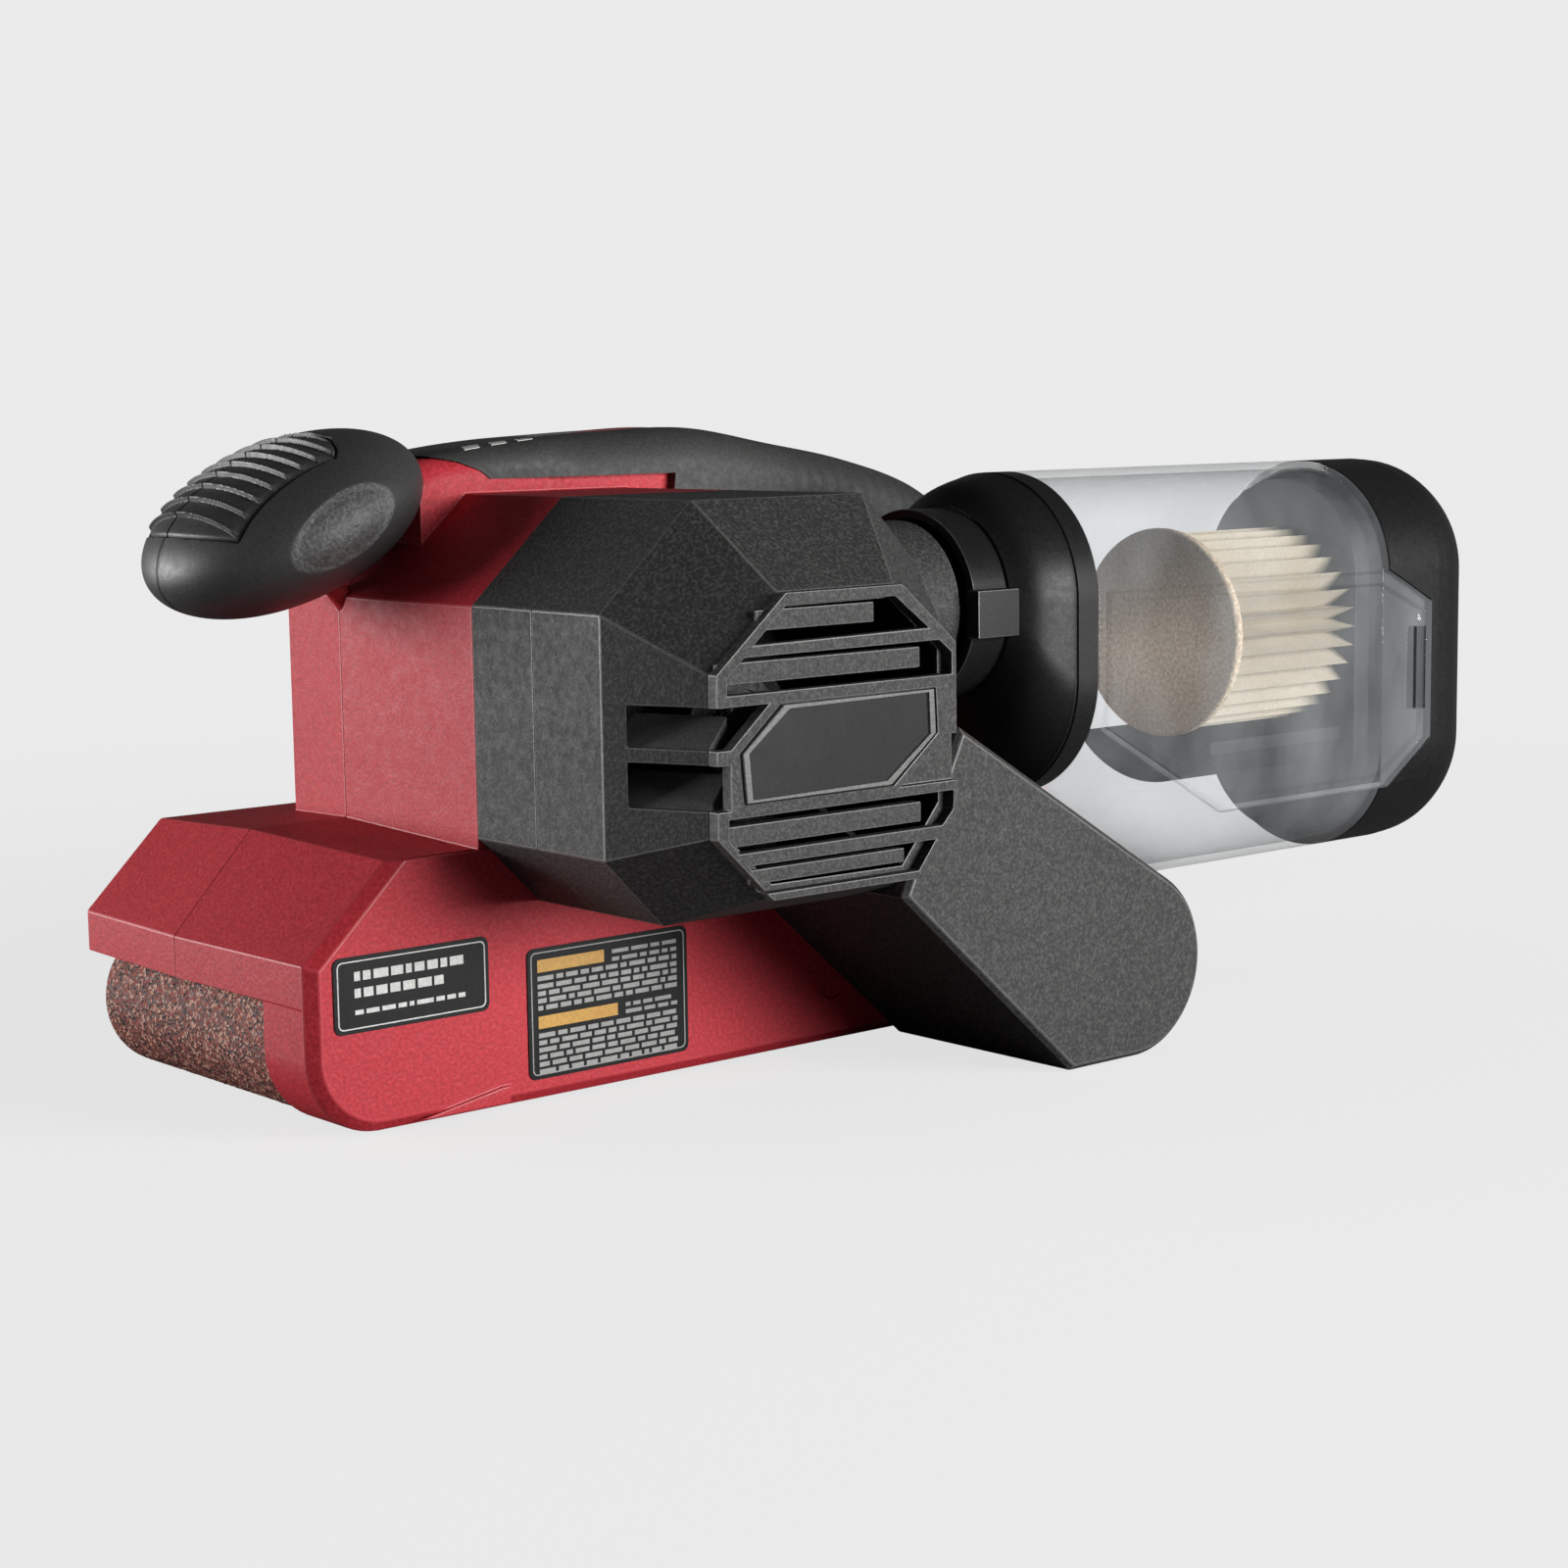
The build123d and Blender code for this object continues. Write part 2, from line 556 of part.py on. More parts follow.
# Handle stations: centre X, centre Z, half height, half width, tilt of the section (degrees).
STATIONS = [
    (-27.0, 131.0, 13.6, 15.0, 4),
    (-8.0, 132.2, 14.2, 17.0, 3),
    (12.0, 133.0, 14.4, 17.2, 1),
    (34.0, 133.6, 14.2, 17.0, -3),
    (58.0, 130.2, 13.6, 16.4, -10),
    (82.0, 125.6, 13.8, 16.4, -15),
    (104.0, 118.0, 14.4, 16.6, -27),
    (121.0, 104.5, 14.4, 16.6, -50),
    (128.5, 87.0, 14.0, 16.4, -82),
    (124.5, 69.0, 13.6, 16.2, -112),
    (114.0, 56.0, 13.4, 16.0, -130),
    (100.0, 43.5, 13.2, 15.8, -138),
]
GRIP_T = 2.6


def section(x, z, half_h, half_w, tilt, inset):
    """Rounded rectangle across the handle."""
    h, w = half_h - inset, half_w - inset
    normal = (cos(radians(tilt)), 0, sin(radians(tilt)))
    frame = Plane(origin=(x, HANDLE_Y, z), x_dir=(0, 1, 0), z_dir=normal)
    corner = 0.72 * min(h, w)
    return (frame * RectangleRounded(2 * w, 2 * h, corner)).face().outer_wire()


def handle_run(stations, inset):
    return Solid.make_loft([section(*s, inset) for s in stations])


def handle_core():
    return handle_run(STATIONS, GRIP_T)


def handle_hollow():
    return handle_run(STATIONS[2:-1], GRIP_T + 2.4)


def neck():
    """Front root of the handle, where the front knob is bolted."""
    outline = [(-48.0, 118.0), (-48.0, 140.6), (-44.0, 142.0), (-26.0, 144.4), (-12.0, 144.6), (-12.0, 118.0)]
    half_w = 15.0

    def on_top_side(edge):
        middle = edge.center()
        at_side = abs(abs(middle.Y - HANDLE_Y) - half_w) < 0.1
        return at_side and abs(middle.Z - 141.0) < 4.5 and edge.length > 3

    return rounded(prism(outline, HANDLE_Y - half_w, HANDLE_Y + half_w), 6.0, on_top_side)


TRIGGER_X0, TRIGGER_X1 = 42.0, 72.0
TRIGGER_Z0 = 106.5
TRIGGER_SLOT_Z = 126.0
SPRING_SEAT_X = (57.5, 66.5)  # web across the handle above the trigger's spring
BUTTON_X, BUTTON_Z = 34.0, 127.0
BUTTON_R = 4.4


def trigger_slot():
    g = RUN_GAP + 0.1
    return block(TRIGGER_X0 - g, TRIGGER_X1 + g, HANDLE_Y - 7.5 - g, HANDLE_Y + 7.5 + g, 100, TRIGGER_SLOT_Z)


def button_bore():
    return rod("y", (BUTTON_X, BUTTON_Z), BUTTON_R + RUN_GAP, HANDLE_Y - 30, HANDLE_Y - 2)


CRADLES = (-42.0, -22.0, -3.5)
MOTOR_FLOOR_Z = 50.4
SCREW_SITES = ((-52.0, 100.0), (18.0, 112.0), (18.0, 66.0), (-52.0, 66.0))


def motor_space():
    """Room for the motor, with cradles for the stator and brush ring and a bearing boss."""
    y0, y1 = COVER_Y + 3, UPRIGHT_OPEN_Y - SHELL
    inner = [(FRONT_X + SHELL, 62), (FRONT_X + SHELL, 110.2), (-34.5, TOP_Z - SHELL), (10, TOP_Z - SHELL),
             (REAR_X - SHELL, 117.9), (REAR_X - SHELL, 62)]
    room = prism(inner, y0, y1) + block(FRONT_X + SHELL + 4, REAR_X - SHELL - 4, y0, y1, MOTOR_FLOOR_Z, 63)
    for y in CRADLES:
        room = room - (block(-70, 40, y, y + 3, 40, 140) - rod("y", M, STATOR_R + 0.05, y - 1, y + 4))
    room = room - rod("y", M, MOTOR_BEARING_R + 3, MOTOR_BEARINGS[0][0] - 0.5, y1 + 1)
    room = room + rod("y", M, MOTOR_BEARING_R + 0.01, MOTOR_BEARINGS[0][0] - 1, MOTOR_BEARINGS[0][1] + 0.1)
    room = room + rod("y", M, SHAFT_R + 0.6, 8, y1)
    for x, z in SCREW_SITES:
        room = room - rod("y", (x, z), 4.6, -70, 30)
    return room


def housing_halves():
    """Red clamshell: motor housing, roof over the belt, side wall and handle core."""
    near_roof, far_roof = base_solid()
    far_up = [(x + 2.4 if x < -50 else x, z) for x, z in UPRIGHT]
    left = prism(UPRIGHT, COVER_Y, SEAM_Y) + near_roof + side_wall()
    right = taper(UPRIGHT, SEAM_Y, far_up, UPRIGHT_OPEN_Y) + far_roof
    core = handle_core() + neck()
    hollow = handle_hollow() & block(20, 200, -60, 60, 0, 200)
    hollow = hollow - block(*SPRING_SEAT_X, -60, 60, TRIGGER_SLOT_Z, TRIGGER_SLOT_Z + 2.4)
    both_cuts = [roof_hollow(), motor_space(), hollow, trigger_slot(), button_bore(), gland_bore(), knob_bore()]
    left_core = core & block(-60, 200, -60, SEAM_Y, 40, 200)
    right_core = core & block(-60, 200, SEAM_Y, 60, 40, 200)
    left, right = left + left_core, right + right_core
    for cut in both_cuts:
        left = left - cut
        right = right - cut
    left = left - wall_hollow() - rod("y", (DRIVE_X, DRIVE_Z), DRIVE_SHAFT_R + 0.8, -70, -30)
    left = left - rod("y", (DRIVE_X, DRIVE_Z), ROLLER_BEARING_R + 0.01, *ROLLER_BEARINGS[0])
    left = left - rod("y", (DRIVE_X, DRIVE_Z), ROLLER_BEARING_R + 0.01, -53, -40)
    left = left - rod("y", M, MOTOR_BEARING_R + 0.01, COVER_Y - 1, MOTOR_BEARINGS[1][1])
    left = left - rod("y", M, SHAFT_R + 0.8, -70, -30)
    left = left + foot_rib()
    for x, z in SCREW_SITES:
        bore = rod("y", (x, z), 1.82, COVER_Y - 5, UPRIGHT_OPEN_Y + 5)
        seat = rod("y", (x, z), 3.4, UPRIGHT_OPEN_Y - 3.0, UPRIGHT_OPEN_Y + 5)
        left, right = left - bore, right - bore - seat
    for x in FRAME_BOLTS:
        left = left - rod("y", (x, 16.0), 2.52, -80, -30) - rod("y", (x, 16.0), 4.5, -80, WALL_Y + 2.8)
    return left, right


FRAME_BOLTS = (-30.0, 40.0)


def frame_bolts():
    return [screw("y", (x, 16.0), WALL_Y + 0.4, 26, 1, 4.3, 2.5) for x in FRAME_BOLTS]


# --- black covers ----------------------------------------------------------------------
def fan_housing():
    """Volute round the dust fan, with the round port behind."""
    body = prism(COVER, COVER_SEAM_Y, COVER_Y)
    root = rod("x", (PORT_Y, PORT_Z), PORT_R, 8.0, REAR_X + 1)
    body = body + (root & block(0, 40, COVER_SEAM_Y, COVER_Y, 60, 140))
    body = body + rod("x", (PORT_Y, PORT_Z), PORT_R, REAR_X + 0.1, PORT_END_X)
    volute = rod("y", M, FAN_R + 3.5, COVER_SEAM_Y + 2.4, COVER_Y - 2.0)
    duct = rod("x", (PORT_Y, PORT_Z), PORT_R - 2.4, MOTOR_X + 10, REAR_X + 3)
    duct = duct & block(-20, 100, COVER_SEAM_Y + 2.4, COVER_Y - 2.0, 60, 140)
    bell = rod("x", (PORT_Y, PORT_Z), PORT_R - 2.4, REAR_X + 2.5, PORT_END_X + 1)
    wall_step = block(-70, 40, WALL_Y - 0.05, COVER_Y + 1, 40, ROOF_EDGE_Z + 0.05)
    shaft_way = rod("y", M, SHAFT_R + 1.2, -100, -40)
    return body - volute - duct - bell - wall_step - shaft_way


def motor_cover():
    """Outer cover: straight band, then facets that draw in to the grille."""
    mouth_y = GRILLE_Y + GRILLE_T
    outer = prism(COVER, COVER_EDGE_Y, COVER_SEAM_Y) + taper(COVER, COVER_EDGE_Y, GRILLE, mouth_y)
    inner_big = inset_outline(COVER, M, 3.0)
    inner_small = inset_outline(GRILLE, M, 3.0)
    inner = prism(inner_big, COVER_EDGE_Y, COVER_SEAM_Y - 2.6)
    inner = inner + taper(inner_big, COVER_EDGE_Y, inner_small, mouth_y - 0.01)
    body = outer - inner
    body = body + rod("y", M, MOTOR_BEARING_R + 3, MOTOR_BEARINGS[2][0] + 0.5, COVER_SEAM_Y)
    body = body - rod("y", M, MOTOR_BEARING_R + 0.01, *MOTOR_BEARINGS[2])
    body = body - rod("y", M, SHAFT_R + 1.2, -120, -70)
    body = body - arm_solid(0.2, ARM_Y - 0.2, COVER_SEAM_Y + 1) - belt_envelope()
    for vent in SIDE_VENTS:
        body = body - prism(vent, GRILLE_Y, COVER_EDGE_Y + 0.5)
    return body


def inset_outline(points, centre, amount):
    """Outline drawn towards a centre by about one wall thickness."""
    cx, cz = centre
    inner = []
    for x, z in points:
        reach = sqrt((x - cx) ** 2 + (z - cz) ** 2)
        k = (reach - amount * 1.18) / reach
        inner.append((cx + (x - cx) * k, cz + (z - cz) * k))
    return inner


GRILLE_SLOTS = (
    [(-41.0, 105.6), (7.0, 106.2), (-2.6, 113.4), (-32.3, 113.2)],
    [(-48.2, 95.9), (13.6, 96.0), (13.6, 100.6), (10.0, 103.4), (-43.6, 103.2), (-48.2, 99.2)],
    [(-48.2, 70.9), (14.0, 71.0), (13.8, 67.0), (10.6, 63.8), (-45.6, 63.8), (-48.2, 66.9)],
    [(-43.2, 61.0), (8.6, 60.9), (3.6, 54.8), (-38.6, 54.9)],
)
BADGE = [(-34.0, 93.4), (8.9, 93.4), (9.4, 83.8), (-3.5, 73.6), (-44.2, 73.6), (-45.2, 84.0)]


# Two openings on the front side of the badge, cut through frame and cover alike.
SIDE_VENTS = (
    [(-58.5, 85.0), (-47.4, 85.0), (-37.4, 93.5), (-58.5, 93.5)],
    [(-58.5, 72.7), (-47.6, 72.7), (-47.6, 81.9), (-58.5, 81.9)],
)
# Recessed corner behind the badge's cut edge.
BADGE_CORNER = [(11.6, 83.2), (16.0, 83.2), (16.0, 73.2), (-1.2, 73.2)]
# Louvre boards: low edge, high edge, front end, rear end.
SLATS = (
    (108.2, 112.4, -38.8, -7.0),
    (97.8, 102.2, -49.6, 6.0),
    (64.9, 69.2, -49.0, 6.0),
    (56.8, 59.8, -41.6, 1.0),
)


def vent_grille():
    """Raised frame with four slots and a recess for the badge; louvre boards stand back inside."""
    body = prism(GRILLE, GRILLE_Y, GRILLE_Y + GRILLE_T)
    for slot in GRILLE_SLOTS:
        body = body - prism(slot, GRILLE_Y - 1, GRILLE_Y + 4)
    for vent in SIDE_VENTS:
        body = body - prism(vent, GRILLE_Y - 1, GRILLE_Y + 4)
    body = body - prism(BADGE, GRILLE_Y - 1, GRILLE_Y + 1.2) - prism(BADGE_CORNER, GRILLE_Y - 1, GRILLE_Y + 1.6)
    inside = prism(inset_outline(GRILLE, M, 3.8), GRILLE_Y + 2.0, GRILLE_Y + 6)
    for z0, z1, x0, x1 in SLATS:
        body = body + block(x0, x1, GRILLE_Y + 1.8, GRILLE_Y + GRILLE_T, z0, z1)
        body = body + (block(x0, x1, GRILLE_Y + 2.0, GRILLE_Y + 4.8, z0, z1) & inside)
    return body


def badge_plate():
    return prism(inset_outline(BADGE, (-18.2, 83.5), 0.5), GRILLE_Y - 0.2, GRILLE_Y + 1.2)


ARM_R = 22.0


def arm_solid(grow, y0, y1):
    """Drive-belt cover: round the driven pulley, straight sides up to the motor."""
    r = ARM_R + grow
    slope = atan2(MOTOR_Z - DRIVE_Z, MOTOR_X - DRIVE_X)
    normal = slope - pi / 2
    top = (DRIVE_X + r * cos(normal), DRIVE_Z + r * sin(normal))
    upper = (top[0] + (80.0 + grow) * cos(slope), top[1] + (80.0 + grow) * sin(slope))
    lower = (9.0 - grow * 1.41, 46.8 - grow * 0.08)
    knee = (61.3 - grow * 0.38, DRIVE_Z - r)
    down = (DRIVE_X, DRIVE_Z - r)
    half_way = (normal - pi / 2) / 2
    rear = (DRIVE_X + r * cos(half_way), DRIVE_Z + r * sin(half_way))

    def at(point):
        return (point[0], y0, point[1])

    outline = Wire([
        Edge.make_line(at(upper), at(top)),
        Edge.make_three_point_arc(at(top), at(rear), at(down)),
        Edge.make_line(at(down), at(knee)),
        Edge.make_line(at(knee), at(lower)),
        Edge.make_line(at(lower), at(upper)),
    ])
    return Solid.extrude(Face(outline), Vector(0, y1 - y0, 0))


def belt_envelope():
    """Room that the drive belt and both pulleys need."""
    small = (MOTOR_X, MOTOR_Z, SMALL_PULLEY_R + 3)
    large = (DRIVE_X, DRIVE_Z, LARGE_PULLEY_R + 2.2)
    outline = loop_wire(PULLEY_Y0 - 1.5, small, large)
    return Solid.extrude(Face(outline), Vector(0, PULLEY_W + 3, 0))


def belt_cover():
    """Hollow arm over the drive belt, carrying the outer bearing of the drive shaft."""
    outer = arm_solid(0.0, ARM_Y, WALL_Y - 0.05)
    outer = outer.chamfer(1.2, None, [e for e in outer.edges() if abs(e.center().Y - ARM_Y) < 0.01])
    outer = outer - prism(inset_outline(COVER, M, -0.2), COVER_SEAM_Y - 0.1, COVER_Y)
    body = outer - arm_solid(-2.6, ARM_Y + 2.4, WALL_Y - 2.6)
    web = arm_solid(-0.5, -95.5, -86.5) & rod("y", (DRIVE_X, DRIVE_Z), ARM_R - 1, -100, -80)
    body = body + web
    centre = (DRIVE_X, DRIVE_Z)
    body = body - rod("y", centre, ROLLER_BEARING_R + 0.01, *ROLLER_BEARINGS[1])
    body = body - rod("y", centre, ROLLER_BEARING_R - 3, ARM_Y + 3, -40) - belt_envelope()
    return body - rod("y", M, MOTOR_BEARING_R + 3.2, -115, -50)


# --- labels, grip, switch ----------------------------------------------------------
def label_front():
    return prism([(-99.0, 23.6), (-59.8, 23.6), (-59.8, 40.0), (-99.0, 40.0)], WALL_Y - 0.35, WALL_Y)


def label_rear():
    return prism([(-49.6, 6.0), (-4.8, 6.0), (-4.8, 35.4), (-49.6, 35.4)], WALL_Y - 0.35, WALL_Y)


def handle_grip():
    """Soft over-moulding that wraps the handle core."""
    outer = handle_run(STATIONS, 0.0)
    body = outer - handle_run(STATIONS, GRIP_T)
    body = body - neck() - prism(UPRIGHT, COVER_Y, UPRIGHT_OPEN_Y)
    lower = prism([(-60, 100), (20, 100), (24, 137.2), (-19, 137.2), (-33, 143.0), (-60, 150)], -60, 60)
    body = body - lower - trigger_slot() - button_bore() - gland_bore()
    body = body & block(-60, 200, -60, 60, 62, 200)
    return body - indicator_panel()


def indicator_panel():
    """Small window set into the top of the grip."""
    inlay = block(-8.0, 34.0, HANDLE_Y - 4.5, HANDLE_Y + 4.5, 143, 150)
    return (inlay & handle_run(STATIONS, 0.15)) - handle_run(STATIONS, GRIP_T)


def trigger():
    """Finger plate under the grip."""
    x0, x1 = TRIGGER_X0, TRIGGER_X1
    side = [(x0, 123), (x0, 113), (x0 + 7, TRIGGER_Z0), (x1 - 8, TRIGGER_Z0 - 1.5), (x1, 110),
            (x1, 118), (x1 - 12, 120), (x0 + 14, 120), (x0 + 4, 120.8)]
    return prism(side, HANDLE_Y - 7.5, HANDLE_Y + 7.5)


def trigger_spring():
    top = TRIGGER_SLOT_Z - 0.1
    return coil((TRIGGER_X0 + 20, HANDLE_Y), 3.0, 0.45, 120.1, top, 5, "z")


def switch_body():
    return block(TRIGGER_X1 + 2.5, TRIGGER_X1 + 18, HANDLE_Y - 7, HANDLE_Y + 7, 119.5, 129.5)


def lock_button():
    return rod("y", (BUTTON_X, BUTTON_Z), BUTTON_R, HANDLE_Y - 18.6, HANDLE_Y - 8)


def lock_spring():
    spring = coil((0.0, 0.0), 2.6, 0.4, 0.0, 5.6, 4, "z")
    return Pos(BUTTON_X, HANDLE_Y - 2.1, BUTTON_Z) * Rot(90, 0, 0) * spring


GLAND_X, GLAND_Z = 140.6, 84.0  # seat of the bush's flange


def gland_bore():
    return rod("x", (HANDLE_Y, GLAND_Z), 7.02, 118.0, 165.0) + rod("x", (HANDLE_Y, GLAND_Z), 9.05, GLAND_X, 165.0)


def cord_gland():
    """Rubber bush for the supply cord."""
    sleeve = tube("x", (HANDLE_Y, GLAND_Z), 7.0, 4.0, GLAND_X - 14.0, GLAND_X)
    return sleeve + tube("x", (HANDLE_Y, GLAND_Z), 9.0, 4.0, GLAND_X, GLAND_X + 4.0)


# --- front knob ------------------------------------------------------------------------
KNOB = (-74.6, HANDLE_Y, 128.6)
KNOB_AXES = (33.6, 31.0, 17.0)
KNOB_TILT = -24.0


def knob_shape(grow=0.0):
    a, b, c = (v + grow for v in KNOB_AXES)
    ball = scale(Sphere(1.0), by=(a, b, c))
    return (Pos(*KNOB) * Rot(0, KNOB_TILT, 0) * ball).solid()


def knob_bore():
    slope = Plane(origin=(KNOB[0], KNOB[1], KNOB[2]), z_dir=(sin(radians(40)), 0, -cos(radians(40))))
    return Solid.make_cylinder(2.55, 34, slope)


def pad_zone():
    zone = extrude(Ellipse(26.0, 21.0), 40)
    return (Pos(*KNOB) * Rot(0, KNOB_TILT, 0) * Pos(-6.5, 0, 2.0) * zone).solid()


def knob_pad():
    return (knob_shape() - knob_shape(-2.4)) & pad_zone()


def front_knob():
    body = knob_shape() - pad_zone() + (knob_shape(-2.45) & pad_zone())
    body = body - neck() - prism(UPRIGHT, COVER_Y, UPRIGHT_OPEN_Y)
    return body - knob_bore()


def knob_bolt():
    slope = Plane(origin=(KNOB[0], KNOB[1], KNOB[2]), z_dir=(sin(radians(40)), 0, -cos(radians(40))))
    return slope * Pos(0, 0, 2) * Solid.make_cylinder(2.5, 31)


# --- dust canister ---------------------------------------------------------------------
def grip_tab(grow):
    low, high = PORT_Y - COLLAR_R - 2.2, PORT_Y - COLLAR_R + 2
    return block(COLLAR_X0 - 1, COLLAR_X1 + 1.4 + grow, low, high + grow, 98.4 - grow, 109.6 + grow)


SPIGOT_R = PORT_R - 2.4 - RUN_GAP - 0.1
SPIGOT_X0 = 48.0


def port_collar():
    """Ring behind the port with a raised grip tab and a spigot that plugs into the port."""
    centre = (PORT_Y, PORT_Z)
    ring = tube("x", centre, COLLAR_R, PORT_R + 0.35, COLLAR_X0, COLLAR_X1)
    tab = grip_tab(0.0) - rod("x", centre, PORT_R + 0.35, 50, 80)
    spigot = tube("x", centre, SPIGOT_R, SPIGOT_R - 2.2, SPIGOT_X0, COLLAR_X1)
    web = tube("x", centre, PORT_R + 1, SPIGOT_R - 1, COLLAR_X1 - 2, COLLAR_X1)
    return ring + tab + spigot + web


def canister_adapter():
    """Black hood that opens from the round port to the tall canister section."""
    flare = Solid.make_loft([
        stadium(COLLAR_X1, PORT_R + 3.2, PORT_Z, PORT_Z - 0.1),
        stadium(COLLAR_X1 + 6, CAN_HALF_W - 2.6, CAN_TOP_C, 96.0),
        stadium(RIM_X0, CAN_HALF_W, CAN_TOP_C, CAN_LOW_C_FRONT),
    ])
    rim = canister_run(RIM_X0, CAN_LOW_C_FRONT, SEAM_X - 0.05, CAN_LOW_C_FRONT)
    inner_flare = Solid.make_loft([
        stadium(COLLAR_X1 - 0.5, PORT_R, PORT_Z, PORT_Z - 0.1),
        stadium(COLLAR_X1 + 6, CAN_HALF_W - 5.2, CAN_TOP_C, 96.0),
        stadium(RIM_X0, CAN_HALF_W - 2.4, CAN_TOP_C, CAN_LOW_C_FRONT),
    ])
    inner_rim = canister_run(RIM_X0 - 0.5, CAN_LOW_C_FRONT, SEAM_X + 1, CAN_LOW_C_FRONT, 2.4)
    return flare + rim - inner_flare - inner_rim - grip_tab(0.05)


PANEL = [(97.0, 107.5), (205.0, 107.5), (TONGUE_X, 98.5), (TONGUE_X, 62.0), (205.0, 50.0),
         (139.0, 50.0), (97.0, 74.0)]
PANEL_Y0, PANEL_Y1 = -97.2, -94.2


def canister_body():
    """Clear bin: wedge-bottomed front, straight rear, raised side panel and latch tongue."""
    wedge = (SEAM_X, CAN_LOW_C_FRONT, CAN_DEEP_X, CAN_LOW_C)
    straight = (CAN_DEEP_X, CAN_LOW_C, CAP_X, CAN_LOW_C)
    front = canister_run(*wedge) - canister_run(*wedge, CAN_WALL)
    rear = canister_run(*straight) - canister_run(*straight, CAN_WALL)
    slot = block(215.5, 219.5, -105, -90, 70.0, 92.0)
    return front + rear + (prism(PANEL, PANEL_Y0, PANEL_Y1) - slot)


EXHAUST_SLOTS = 5


def cap_section(x, inset):
    return stadium(x, CAN_HALF_W - inset, CAN_TOP_C, CAN_LOW_C)


def end_cap():
    """Domed rear cap with a notch round the bin's latch tongue."""
    shell = canister_run(CAP_X + RUN_GAP, CAN_LOW_C, CAP_SHOULDER_X, CAN_LOW_C)
    bends = ((CAP_SHOULDER_X, 0.0), (238.0, 2.6), (CAP_END_X, 9.0))
    dome = Solid.make_loft([cap_section(x, inset) for x, inset in bends])
    body = shell + dome
    body = body - canister_run(CAP_X - 1, CAN_LOW_C, CAP_SHOULDER_X + 0.1, CAN_LOW_C, 2.6)
    inner_bends = ((CAP_SHOULDER_X, 2.6), (237.0, 5.4), (CAP_END_X - 2.8, 10.5))
    body = body - Solid.make_loft([cap_section(x, inset) for x, inset in inner_bends])
    ledge = canister_run(CAP_X - 8, CAN_LOW_C, CAP_X + 4, CAN_LOW_C, CAN_WALL + RUN_GAP)
    ledge = ledge - canister_run(CAP_X - 9, CAN_LOW_C, CAP_X + 5, CAN_LOW_C, CAN_WALL + RUN_GAP + 2.2)
    body = body + ledge
    g = RUN_GAP + 0.1
    tongue = [(200.0, 107.5 + g), (205.0 + g, 107.5 + g), (TONGUE_X + g, 98.5 + g), (TONGUE_X + g, 62.0 - g),
              (205.0 + g, 50.0 - g), (200.0, 50.0 - g)]
    notch = prism(tongue, -110, PANEL_Y1 + g)
    latch = block(216.0, 219.0, -95.6, -92.5, 70.6, 91.4)
    recess_floor = canister_run(CAP_X + RUN_GAP, CAN_LOW_C, TONGUE_X + 2, CAN_LOW_C, 2.4)
    recess_floor = recess_floor - canister_run(CAP_X - 1, CAN_LOW_C, TONGUE_X + 3, CAN_LOW_C, 4.6)
    floor_zone = block(200, TONGUE_X + 2, -100, -85, 48, 110)
    clear_of_tongue = block(0, 300, PANEL_Y1 + g, 0, 0, 200)
    body = body - notch + (recess_floor & floor_zone & clear_of_tongue) + (latch & clear_of_tongue)
    for i in range(EXHAUST_SLOTS):
        z = FILTER_Z + (i - (EXHAUST_SLOTS - 1) / 2) * 8.0
        body = body - block(212, 224, PORT_Y + CAN_HALF_W - 6, PORT_Y + CAN_HALF_W + 5, z - 1.6, z + 1.6)
    return body


def filter_frame():
    """Black carrier behind the pleats: a plug in the bin's mouth and a cradle below."""
    plug = canister_run(FILTER_X1, CAN_LOW_C, CAP_X - 2, CAN_LOW_C, CAN_WALL + RUN_GAP + 2.3)
    cradle = tube("x", (PORT_Y, FILTER_Z - 6), FILTER_R + 5.5, FILTER_R + 3, FILTER_X0 - 4, FILTER_X1 + 0.5)
    cradle = cradle & block(100, 220, PORT_Y - 22, PORT_Y + 22, 40, 70)
    return plug + cradle - rod("x", (PORT_Y, FILTER_Z), 15.0, FILTER_X1 - 1, CAP_X + 5)


def pleated_filter():
    """Ring of folded paper pleats."""
    folds = 32
    points = []
    for i in range(folds):
        for r, step in ((FILTER_R - 1.5, 0.0), (FILTER_R - 9.0, 0.5)):
            angle = 2 * pi * (i + step) / folds
            points.append((FILTER_X0 + 3, PORT_Y + r * cos(angle), FILTER_Z + r * sin(angle)))
    star = Face(Wire.make_polygon(points, close=True))
    body = Solid.extrude(star, Vector(FILTER_X1 - FILTER_X0 - 3.05, 0, 0))
    return body - rod("x", (PORT_Y, FILTER_Z), FILTER_R - 11.5, FILTER_X0, FILTER_X1 + 1)


def filter_disc():
    disc = rod("x", (PORT_Y, FILTER_Z), FILTER_R, FILTER_X0, FILTER_X0 + 2.95)
    return rounded(disc, 1.2, lambda e: e.geom_type == GeomType.CIRCLE)


def housing_screws():
    return [screw("y", (x, z), UPRIGHT_OPEN_Y - 0.8, 60, -1) for x, z in SCREW_SITES]


